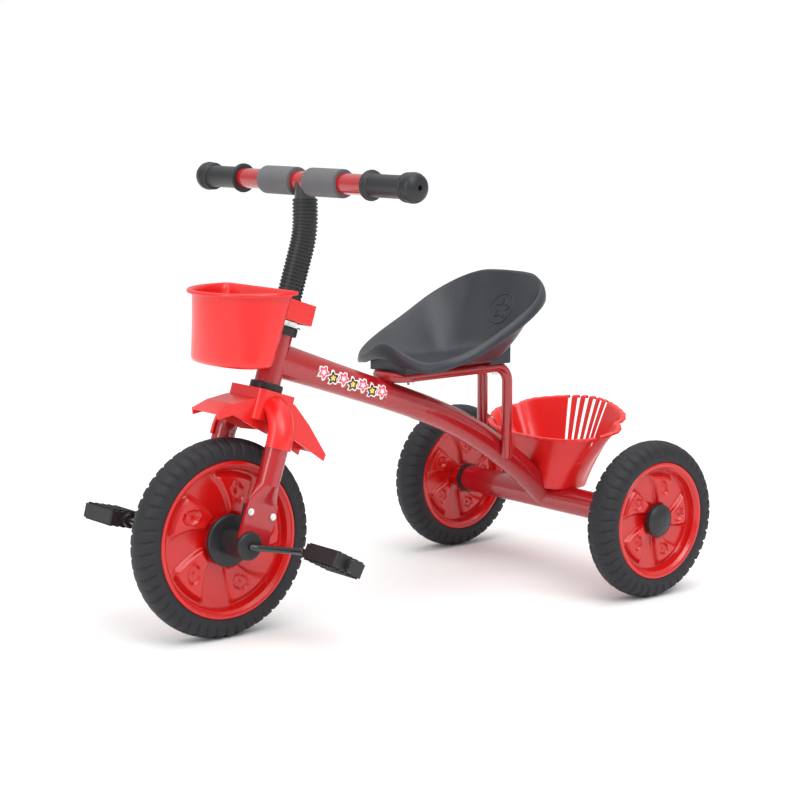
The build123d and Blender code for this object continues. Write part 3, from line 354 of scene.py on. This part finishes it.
FINISHES = {
    "red_paint": red_enamel(),
    "black_paint": black_enamel(),
    "zinc_steel": zinc_plate(),
    "red_plastic": moulded_red("red_basket", rgb(0.70, 0.006, 0.006), rgb(0.82, 0.012, 0.010), 0.28),
    "black_plastic": black_moulding(
        "black_fittings", rgb(0.010, 0.011, 0.013), rgb(0.030, 0.031, 0.034), 0.34, 900.0, 0.00010
    ),
    "seat_plastic": black_moulding(
        "seat_moulding", rgb(0.020, 0.022, 0.029), rgb(0.042, 0.046, 0.056), 0.30, 620.0, 0.00014
    ),
    "tyre_foam": tyre_foam(),
    "bar_foam": sleeve_foam(),
    "printed_label": star_label(),
}
WHEEL_RED = moulded_red("red_wheel", rgb(0.50, 0.003, 0.003), rgb(0.62, 0.006, 0.005), 0.18)
BADGE = oval_badge()


def dress(piece, material):
    piece.data.materials.clear()
    piece.data.materials.append(material)


# ================================================================ mesh helpers
def finished(mesh, name, body, slot, *nodes, material=None, smooth=40):
    """Turns a bmesh into a named piece that rides on a body and stands for some nodes."""
    bmesh.ops.remove_doubles(mesh, verts=mesh.verts, dist=1e-6)
    bmesh.ops.recalc_face_normals(mesh, faces=mesh.faces)
    data = bpy.data.meshes.new(name)
    mesh.to_mesh(data)
    mesh.free()
    piece = bpy.data.objects.new(name, data)
    bpy.context.scene.collection.objects.link(piece)
    for polygon in data.polygons:
        polygon.use_smooth = True
    data.set_sharp_from_angle(angle=radians(smooth))
    dress(piece, material or FINISHES[slot])
    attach(piece, body)
    if nodes:
        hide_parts(*nodes)
    return piece


def spun(profile, steps, centre, axis=(0, 1, 0)):
    """A bmesh turned about an axis from points of (radius, distance along the axis)."""
    along = Vector(axis).normalized()
    out = along.orthogonal().normalized()
    mesh = bmesh.new()
    ring = [mesh.verts.new(Vector(centre) + out * radius + along * offset) for radius, offset in profile]
    edges = [mesh.edges.new(pair) for pair in zip(ring, ring[1:])]
    bmesh.ops.spin(
        mesh, geom=ring + edges, cent=centre, axis=along, angle=TURN, steps=steps, use_merge=True
    )
    bmesh.ops.remove_doubles(mesh, verts=mesh.verts, dist=1e-6)
    return mesh


def ease(value, low, high):
    share = min(1.0, max(0.0, (value - low) / (high - low)))
    return share * share * (3 - 2 * share)


# ================================================================ tyres
def tyre_profile(radius, rim, half_width):
    """Half of a tyre's section, from the bead up the outer side to the crown."""
    side = half_width
    return [
        (rim - 4 * MM, side - 3.2 * MM),
        (rim + 0.2 * MM, side - 3.2 * MM),
        (rim + 0.3 * MM, side - 0.6 * MM),
        (rim + 2 * MM, side + 0.4 * MM),
        (rim + 5 * MM, side + 0.9 * MM),
        (rim + 8 * MM, side + 0.8 * MM),
        (radius - 13 * MM, side + 0.4 * MM),
        (radius - 10.5 * MM, side - 0.2 * MM),
        (radius - 8 * MM, side - 1.2 * MM),
        (radius - 6 * MM, side - 2.6 * MM),
        (radius - 4.2 * MM, side - 4.6 * MM),
        (radius - 2.8 * MM, side - 7 * MM),
        (radius - 1.6 * MM, side - 9.8 * MM),
        (radius - 0.7 * MM, side - 13 * MM),
        (radius - 0.2 * MM, side - 16.5 * MM),
        (radius, 0.0),
    ]


def tyre(name, node, body, centre, radius, rim, half_width, lugs, paired):
    """A foam tyre with a lug pattern cut across both shoulders."""
    half = tyre_profile(radius, rim, half_width)
    mirrored = [(reach, -offset) for reach, offset in reversed(half[:-1])]
    steps_per_lug = 12
    mesh = spun(half + mirrored, lugs * steps_per_lug, centre)
    core = radius - half_width
    for vert in mesh.verts:
        place = vert.co - Vector(centre)
        reach = hypot(place.x, place.z)
        turn = atan2(place.z, place.x) / TURN * lugs
        side = 0.5 if place.y > 0 else 0.0
        wide = abs(place.y) / half_width
        high = ease(reach, radius - 19 * MM, radius - 12 * MM)
        lean = 0.22 * ease(reach, radius - 16 * MM, radius)
        phase = (turn + side + lean) % 1.0
        gap = 1 - ease(abs(phase - 0.5), 0.05, 0.17)
        cut = gap * high * ease(wide, 0.24, 0.50) * 2.0 * MM
        if paired:
            dash = 1 - ease(abs((turn + 0.25) * 2 % 1.0 - 0.5), 0.10, 0.30)
            cut += dash * high * (1 - ease(abs(wide - 0.28), 0.05, 0.16)) * 1.0 * MM
        inwards = Vector((place.x / reach * core, 0, place.z / reach * core)) - place
        vert.co += inwards.normalized() * cut
    return finished(mesh, name, body, "tyre_foam", node, smooth=60)


# ================================================================ wheel discs
PAD_COUNT = 5


def disc_height(reach, turn, hub, step, scale):
    """How far the moulded pads stand out of a wheel disc at a radius and an angle."""
    middle = (hub + step) / 2
    sweep = 0.35 * (reach - middle) / (step - hub)
    sector = (turn + sweep) / TURN * PAD_COUNT % 1.0 - 0.5
    half = 0.20 + 0.09 * (reach - hub) / (step - hub)
    sides = 1 - ease(abs(sector), half - 0.045, half + 0.045)
    ends = ease(reach, hub + 1 * MM, hub + 9 * MM) * (1 - ease(reach, step - 9 * MM, step - 2 * MM))
    offset = sector / PAD_COUNT * TURN * reach
    away = hypot(offset, reach - (middle + 4 * MM * scale)) / scale
    dish = 1 - ease(away, 8.5 * MM, 10.5 * MM)
    lip = 1 - ease(abs(away - 10.8 * MM), 0.2 * MM, 1.6 * MM)
    dot = 1 - ease(away, 1.2 * MM, 2.6 * MM)
    return sides * ends * (6.0 * MM - dish * 2.6 * MM + lip * 0.6 * MM + dot * 1.4 * MM)


def wheel_disc(name, node, body, centre, rim, half_width, hub, hub_ends, bore):
    """A moulded wheel centre: hub, dished web with raised pads, deep barrel and a rolled lip."""
    bead = rim - 5 * MM
    step = bead - 7 * MM
    web = 6.0 * MM
    rows = 26
    outer_edge = [
        (step + 1.0 * MM, web + 1.0 * MM),
        (step + 2.4 * MM, half_width - 7 * MM),
        (step + 3.2 * MM, half_width - 4.5 * MM),
        (bead - 2.6 * MM, half_width - 3.6 * MM),
        (bead - 1.2 * MM, half_width - 1.4 * MM),
        (bead + 0.4 * MM, half_width - 0.2 * MM),
        (bead + 2.4 * MM, half_width),
        (rim - 0.9 * MM, half_width - 0.3 * MM),
        (rim - 0.1 * MM, half_width - 1.2 * MM),
        (rim - 0.1 * MM, half_width - 2.9 * MM),
        (bead + 0.1 * MM, half_width - 3.0 * MM),
    ]
    web_rows = [(hub + (step - hub) * row / rows, web) for row in range(rows + 1)]
    top, low = hub_ends
    hub_top = [(bore, top), (hub - 1.2 * MM, top), (hub, top - 1.0 * MM), (hub, web + 2 * MM)]
    hub_low = [(hub, -web - 2 * MM), (hub, low + 1.0 * MM), (hub - 1.2 * MM, low), (bore, low)]
    upper = hub_top + web_rows + outer_edge
    lower = [(reach, -offset) for reach, offset in reversed(web_rows + outer_edge)] + hub_low
    mesh = spun(upper + lower + [(bore, top)], 320, centre)
    scale = rim / (95 * MM)
    for vert in mesh.verts:
        place = vert.co - Vector(centre)
        reach = hypot(place.x, place.z)
        if abs(abs(place.y) - web) < 1e-5 and hub - 1e-5 < reach < step + 1e-5:
            outwards = 1 if place.y > 0 else -1
            turn = atan2(place.z, place.x) * outwards
            rise = disc_height(reach, turn, hub, step, scale)
            vert.co.y += outwards * rise
    return finished(mesh, name, body, "red_plastic", node, material=WHEEL_RED, smooth=35)


def wheel_centre(node):
    low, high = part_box(node)
    return (low + high) / 2


rear_x = wheel_centre("rear_tyre_left").x


def hub_span(node, middle):
    low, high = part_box(node)
    return high.y - middle.y, low.y - middle.y


# ================================================================ moulded shells
def loop_through(points, steps):
    """A smooth closed curve through the points, with the same steps between each pair."""
    count = len(points)
    curve = []
    for index in range(count):
        before, start, end, after = (Vector(points[(index + shift) % count]) for shift in (-1, 0, 1, 2))
        for step in range(steps):
            share = step / steps
            curve.append(
                0.5
                * (
                    2 * start
                    + (end - before) * share
                    + (2 * before - 5 * start + 4 * end - after) * share**2
                    + (3 * start - before - 3 * end + after) * share**3
                )
            )
    return curve


def mirrored_loop(half):
    """A closed outline from the points of one half, whose first and last lie on the middle."""
    return list(half) + [(x, -y, z) for x, y, z in reversed(half[1:-1])]


def ringed(rings, holes=None):
    """A bmesh skin through closed rings, whose first ring is filled by a fan."""
    mesh = bmesh.new()
    count = len(rings[0])
    bmesh.ops.create_circle(mesh, cap_ends=True, cap_tris=True, segments=count, radius=1.0)
    centre = max(mesh.verts, key=lambda vert: len(vert.link_edges))
    centre.co = sum(rings[0], Vector()) / count
    start = next(vert for vert in mesh.verts if vert is not centre)
    ring = [start]
    while len(ring) < count:
        beside = [edge.other_vert(ring[-1]) for edge in ring[-1].link_edges]
        ring.append(next(vert for vert in beside if vert is not centre and vert not in ring[-2:]))
    for vert, place in zip(ring, rings[0]):
        vert.co = place
    for level, places in enumerate(rings[1:], 1):
        edges = [mesh.edges.get((first, second)) for first, second in zip(ring, ring[1:] + ring[:1])]
        grown = bmesh.ops.extrude_edge_only(mesh, edges=edges)["geom"]
        new_verts = {vert for vert in grown if isinstance(vert, bmesh.types.BMVert)}
        ring = [next(e.other_vert(v) for e in v.link_edges if e.other_vert(v) in new_verts) for v in ring]
        for vert, place in zip(ring, places):
            vert.co = place
        for column in holes(level) if holes else ():
            face = mesh.edges.get((ring[column], ring[(column + 1) % count])).link_faces[0]
            face.tag = True
    bmesh.ops.delete(mesh, geom=[face for face in mesh.faces if face.tag], context="FACES")
    return mesh


def thickened(piece, thickness, rounds, offset=-1.0, even=True):
    """A wall grown inwards from the outer skin, then smoothed."""
    wall = piece.modifiers.new("wall", "SOLIDIFY")
    wall.thickness = thickness
    wall.offset = offset
    wall.use_even_offset = even
    smooth = piece.modifiers.new("smooth", "SUBSURF")
    smooth.levels = rounds
    smooth.render_levels = rounds
    return piece


# ================================================================ seat
SEAT_RIM = [
    (57, 0, 411), (61, 28, 411), (70, 55, 409), (86, 84, 398), (121, 103, 378), (170, 105, 353),
    (217, 102, 332), (251, 89, 319), (270, 70, 313), (281, 45, 318), (287, 20, 329), (289, 0, 333),
]
PAN_CENTRE = (172, 303)
PAN_REACH = 0.52
SEAT_INSET = 7.0
MEDALLION_CENTRE = (88, 0, 362)
MEDALLION_RADIUS = 21.0
RIB_RADIUS = 0.9                # of the medallion's raised lines
SEAT_RAMP = 11.0                # rise of the pan over the rear seat block
# Steps of the rolled rim: outwards, down, and further down at the nose.
SEAT_ROLL = ((1.6, 0.3, 0.0), (3.6, 1.6, 0.5), (5.6, 4.0, 2.0), (7.0, 8.0, 5.0), (7.6, 13.0, 9.0))


def seat_shell():
    """A bucket seat: flat pan, steep sides, tall back, raised nose and a rolled rim."""
    middle = Vector((PAN_CENTRE[0], 0, PAN_CENTRE[1]))
    rim = []
    for place in loop_through(mirrored_loop(SEAT_RIM), 4):
        away = Vector((place.x - middle.x, place.y, 0)).normalized()
        rim.append(place - away * SEAT_INSET)
    rings = []
    for step in range(1, 15):
        share = step / 14
        rise = ease(share, PAN_REACH - 0.10, 1.25) * 1.22
        climb = max(0.0, (share - PAN_REACH) / (1 - PAN_REACH))
        rise = 0.35 * rise * share + 0.65 * climb**1.25 if share < 1 else 1.0
        ring = []
        for place in rim:
            flat = middle.lerp(place, share)
            flat.z = PAN_CENTRE[1] + (place.z - PAN_CENTRE[1] - 1.0) * min(rise, 1.0)
            ramp = ease(-flat.x, -150, -112) * (1 - ease(abs(flat.y), 44, 78)) * (1 - ease(share, 0.62, 0.95))
            flat.z += SEAT_RAMP * ramp
            ring.append(flat)
        rings.append([Vector(place) for place in ring])
    inner = rings[-1]
    for outwards, drop, nose in SEAT_ROLL:
        ring = []
        for place in inner:
            away = Vector((place.x - middle.x, place.y, 0)).normalized()
            front = ease(place.x, 268, 287) * (1 - ease(abs(place.y), 34, 60))
            deeper = 1 + 0.45 * ease(-place.x, -125, -80)
            ring.append(place + away * outwards - Vector((0, 0, drop * deeper + nose * front)))
        rings.append(ring)
    base = [[Vector((rear_x, 0, 0)) + Vector(place) * MM for place in ring] for ring in rings]
    mesh = ringed(base)
    surface = BVHTree.FromBMesh(mesh)
    piece = finished(mesh, "seat_bucket", "frame", "seat_plastic", "seat_shell", smooth=80)
    thickened(piece, 3.0 * MM, 1, even=False)
    seat_medallion(surface)
    return piece


def seat_medallion(surface):
    """A raised ring with a star in it, following the backrest."""
    facing = Vector((0.90, 0, 0.44)).normalized()
    upwards = Vector((-facing.z, 0, facing.x))
    centre = Vector((rear_x, 0, 0)) + Vector(MEDALLION_CENTRE) * MM
    ring = [(MEDALLION_RADIUS, 2 * pi * turn / 72) for turn in range(72)]
    star = []
    for turn in range(60):
        point = abs((turn % 12) - 6) / 6
        star.append((MEDALLION_RADIUS * (0.30 + 0.36 * point), 2 * pi * turn / 60))
    for name, outline in (("seat_medallion_ring", ring), ("seat_medallion_star", star)):
        places = []
        for reach, turn in outline:
            start = centre + upwards * (reach * MM * cos(turn)) + Vector((0, reach * MM * sin(turn), 0))
            found = surface.ray_cast(start + facing * 60 * MM, -facing)[0]
            places.append(found)
        rib = bmesh.new()
        sides = 8
        loops = []
        for index, place in enumerate(places):
            along = (places[(index + 1) % len(places)] - places[index - 1]).normalized()
            across = along.cross(facing).normalized()
            lift = across.cross(along)
            loop = []
            for side in range(sides):
                turn = 2 * pi * side / sides
                loop.append(rib.verts.new(place + (across * cos(turn) + lift * sin(turn)) * RIB_RADIUS * MM))
            loops.append(loop)
        for index, loop in enumerate(loops):
            follow = loops[(index + 1) % len(loops)]
            for side in range(sides):
                after = (side + 1) % sides
                rib.faces.new((loop[side], follow[side], follow[after], loop[after]))
        bmesh.ops.recalc_face_normals(rib, faces=rib.faces)
        finished(rib, name, "frame", "seat_plastic", "seat_shell", smooth=80)


# ================================================================ rear basket
TRAY_RIM = [
    (40, 0), (39.5, 24), (37, 48), (32, 74), (21, 98), (4, 112), (-13, 119.5), (-25, 113), (-33, 100.5),
    (-45, 99), (-58, 88), (-70, 66), (-80, 42), (-86, 20), (-88, 0),
]
TRAY_BASE = [
    (23, 0), (22, 14), (20, 26), (17, 34), (12, 40), (4, 44), (-6, 46), (-14, 46), (-20, 45),
    (-27, 43), (-34, 38), (-41, 30), (-46, 20), (-49, 10), (-50, 0),
]
TRAY_FLOOR = 117.6
TRAY_SLOTS = (-37.5, -22.5, -7.5, 7.5, 22.5, 37.5)


def tray_height(ahead):
    """The rim's sloping plane, lowest at the front."""
    return 187 + (40 - ahead) * 40 / 128


def rear_basket():
    """A flared tray with a lobed, beaded flange, slots in its rear wall and one in each side."""
    steps = 9
    rim = loop_through(mirrored_loop([(x, y, tray_height(x)) for x, y in TRAY_RIM]), steps)
    base = loop_through(mirrored_loop([(x, y, TRAY_FLOOR) for x, y in TRAY_BASE]), steps)
    middle = Vector((-24, 0, 0))
    count = len(rim)

    def outwards(index):
        along = rim[(index + 1) % count] - rim[index - 1]
        return Vector((along.y, -along.x, 0)).normalized()

    if outwards(0).x < 0:
        turned = -1
    else:
        turned = 1
    wall = [place - outwards(index) * turned * 7.5 for index, place in enumerate(rim)]
    rings = []
    for share in (0.35, 0.7, 0.9, 0.97):
        rings.append([Vector((middle.x, 0, TRAY_FLOOR)).lerp(place, share) for place in base])
    levels = 16
    for level in range(levels + 1):
        share = level / levels
        flare = share**1.18
        ring = []
        for low, high in zip(base, wall):
            place = low.lerp(high, flare)
            place.z = low.z + (high.z - low.z) * (0.02 + 0.98 * share)
            ring.append(place)
        rings.append(ring)
    first_flange = len(rings)
    for reach, lift in ((1.2, 0.9), (3.0, 1.2), (6.0, 1.2), (7.4, 0.6), (7.8, -1.4), (7.4, -3.2)):
        ring = []
        for index, place in enumerate(wall):
            bead = 0.5 + 0.5 * cos(index / steps * TURN * 1.5)
            grown = reach + (0.9 * (bead - 0.5) if reach > 5 else 0.0)
            rise = lift + (0.7 * bead if 2 < reach < 7 else 0.0)
            ring.append(place + outwards(index) * turned * grown + Vector((0, 0, rise)))
        rings.append(ring)

    def holes(level):
        rear = range(4 + 8, first_flange - 2)
        side = range(4 + 9, first_flange - 2)
        for column in range(count):
            place = (rim[column] + rim[(column + 1) % count]) / 2
            if level in rear and place.x < -60 and min(abs(place.y - slot) for slot in TRAY_SLOTS) < 3.2:
                yield column
            if level in side and 9 < place.x < 14 and abs(place.y) > 60:
                yield column

    places = [[Vector((rear_x, 0, 0)) + Vector(place) * MM for place in ring] for ring in rings]
    mesh = ringed(places, holes)
    piece = finished(mesh, "rear_basket_moulded", "frame", "red_plastic", "rear_basket", smooth=70)
    return thickened(piece, 2.0 * MM, 1)


# ================================================================ front basket
BASKET_TOP = 414.0
BASKET_BOTTOM = 328.0
BASKET_NOSE = 274.5
BASKET_LEAN = 0.3327            # the back runs parallel to the steering axis
BASKET_BACK = 193.8


def basket_outline(height, grow):
    """The D-shaped outline at a height, grown all round."""
    share = (height - BASKET_BOTTOM) / (BASKET_TOP - BASKET_BOTTOM)
    back = BASKET_BACK + (BASKET_TOP - height) * BASKET_LEAN - grow * 0.4
    nose = BASKET_NOSE - 4 * (1 - share) + grow
    half = 63 + 4 * share + grow
    start = back + 20
    points = [(back, 0), (back, half * 0.5), (back, half - 9), (back + 2.6, half - 2.6), (back + 9, half)]
    for turn in range(84, -1, -12):
        points.append((start + (nose - start) * cos(radians(turn)), half * sin(radians(turn))))
    return loop_through(mirrored_loop([(x, y, height) for x, y in points]), 4)


def front_basket():
    """A D-shaped tub with a rounded base and a rolled flange."""
    rings = []
    for share in (0.4, 0.8):
        ring = basket_outline(BASKET_BOTTOM, -5.0)
        middle = sum(ring, Vector()) / len(ring)
        rings.append([middle.lerp(place, share) for place in ring])
    steps = [(-5.0, 0.0), (-2.6, 0.5), (-0.9, 2.0), (-0.1, 4.4), (0.0, 8.0)]
    steps += [(0.0, rise) for rise in (20, 33, 46, 59, 70, 79)]
    steps += [(0.4, 82.4), (1.8, 84.6), (4.0, 85.6), (6.6, 85.9), (8.3, 85.0), (8.9, 83.2), (8.9, 81.0)]
    for grow, rise in steps:
        rings.append(basket_outline(BASKET_BOTTOM + rise, grow))
    places = [[place * MM for place in ring] for ring in rings]
    mesh = ringed(places)
    piece = finished(mesh, "front_basket_moulded", "steering", "red_plastic", "front_basket", smooth=60)
    return thickened(piece, 2.0 * MM, 1)


# ================================================================ grips
GRIP = [
    (12.5, 125.0), (16.6, 125.0), (17.8, 125.8), (18.0, 127.2), (17.6, 128.8), (15.6, 129.8), (14.0, 131.0),
    (13.5, 134.0), (13.3, 160.0), (13.5, 186.0), (14.2, 189.6), (16.2, 190.4), (17.0, 191.5), (16.9, 192.8),
    (15.8, 193.8), (15.8, 194.6), (17.2, 195.6), (17.3, 197.0), (16.1, 198.0), (16.1, 198.8), (17.5, 199.8),
    (17.6, 202.6), (17.0, 206.0), (15.4, 209.4), (12.4, 211.8), (8.0, 213.1), (3.4, 213.5), (2.9, 212.8),
    (2.7, 209.0), (0.0, 209.0),
]


def grip(side, sign):
    """A moulded grip with an inner flange, a plain barrel and a ringed end bulb."""
    low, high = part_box(f"grip_{side}")
    centre = Vector(((low.x + high.x) / 2, 0, (low.z + high.z) / 2))
    mesh = spun([(reach * MM, along * MM * sign) for reach, along in GRIP], 96, centre)
    return finished(mesh, f"grip_{side}_moulded", "steering", "black_plastic", f"grip_{side}", smooth=50)


# ================================================================ build
slots = {row["node"]: row["material_slot"] for row in frame["record"]["subparts"]}
for node, piece in frame["nodes"].items():
    dress(piece, FINISHES[slots[node]])
dress(frame["nodes"]["basket_badge"], BADGE)

front = wheel_centre("front_tyre")
tyre("front_tyre_treaded", "front_tyre", "front_wheel", front, 120 * MM, 95 * MM, 19.2 * MM, 50, False)
hub = 26 * MM
wheel_disc(
    "front_wheel_centre", "front_rim", "front_wheel", front, 95 * MM, 19.2 * MM, hub,
    hub_span("front_rim", front), 6 * MM,
)
for side in ("left", "right"):
    middle = wheel_centre(f"rear_tyre_{side}")
    wheel_disc(
        f"rear_wheel_centre_{side}", f"rear_rim_{side}", f"rear_wheel_{side}", middle,
        75.3 * MM, 19.6 * MM, 15 * MM, hub_span(f"rear_rim_{side}", middle), 5.1 * MM,
    )
    tyre(
        f"rear_tyre_{side}_treaded", f"rear_tyre_{side}", f"rear_wheel_{side}",
        middle, 101 * MM, 75.3 * MM, 19.6 * MM, 42, True,
    )

seat_shell()
rear_basket()
front_basket()
grip("left", 1)
grip("right", -1)


# ================================================================ studio
def aimed(thing, target):
    thing.rotation_euler = (Vector(target) - thing.location).to_track_quat("-Z", "Y").to_euler()


def softbox(name, place, target, size, power):
    data = bpy.data.lights.new(name, "AREA")
    data.shape = "RECTANGLE"
    data.size, data.size_y = size
    data.energy = power
    lamp = bpy.data.objects.new(name, data)
    lamp.location = place
    bpy.context.scene.collection.objects.link(lamp)
    aimed(lamp, target)


def studio():
    mesh = bmesh.new()
    bmesh.ops.create_grid(mesh, x_segments=1, y_segments=1, size=90.0)
    data = bpy.data.meshes.new("floor")
    mesh.to_mesh(data)
    mesh.free()
    floor = bpy.data.objects.new("floor", data)
    bpy.context.scene.collection.objects.link(floor)
    paper = Finish("paper")
    tint = paper.noise(3.0)
    shade = paper.blend(tint, rgb(0.90, 0.90, 0.90), rgb(0.93, 0.93, 0.93))
    dress(floor, paper.set(colour=shade, roughness=0.9))
    world = bpy.data.worlds.new("studio")
    world.use_nodes = True
    nodes, links = world.node_tree.nodes, world.node_tree.links
    rays = nodes.new("ShaderNodeLightPath")
    place = nodes.new("ShaderNodeTexCoord")
    split = nodes.new("ShaderNodeSeparateXYZ")
    height = nodes.new("ShaderNodeMapRange")
    height.inputs[1].default_value = -0.1
    height.inputs[2].default_value = 0.9
    height.inputs[3].default_value = 0.38
    height.inputs[4].default_value = 1.0
    dome = nodes.new("ShaderNodeMix")
    dome.inputs[3].default_value = 1.0
    links.new(place.outputs["Generated"], split.inputs[0])
    links.new(split.outputs[2], height.inputs[0])
    links.new(rays.outputs["Is Camera Ray"], dome.inputs[0])
    links.new(height.outputs[0], dome.inputs[2])
    links.new(dome.outputs[0], nodes["Background"].inputs[1])
    nodes["Background"].inputs[0].default_value = rgb(1.0, 1.0, 1.0)
    bpy.context.scene.world = world
    data = bpy.data.lights.new("daylight", "SUN")
    data.energy = 1.1
    data.angle = radians(50)
    daylight = bpy.data.objects.new("daylight", data)
    daylight.rotation_euler = (radians(-24), radians(10), 0)
    bpy.context.scene.collection.objects.link(daylight)
    softbox("key", (0.2, 2.4, 2.2), (0.0, 0.0, 0.25), (1.6, 1.6), 22.0)
    softbox("side", (2.4, 0.2, 1.4), (0.1, 0.0, 0.25), (0.7, 1.8), 15.0)
    softbox("top", (-0.3, -0.4, 2.6), (0.0, 0.0, 0.2), (2.2, 2.2), 12.0)


def camera():
    data = bpy.data.cameras.new("camera")
    data.sensor_width = 36.0
    data.lens = 88.48
    data.shift_x = -0.0090
    data.shift_y = 0.0293
    eye = bpy.data.objects.new("camera", data)
    eye.location = (1.5339, 1.8899, 0.6425)
    bpy.context.scene.collection.objects.link(eye)
    aimed(eye, (-0.0296, 0.0, 0.2262))
    bpy.context.scene.camera = eye


studio()
camera()
bpy.context.scene.view_settings.view_transform = "Standard"
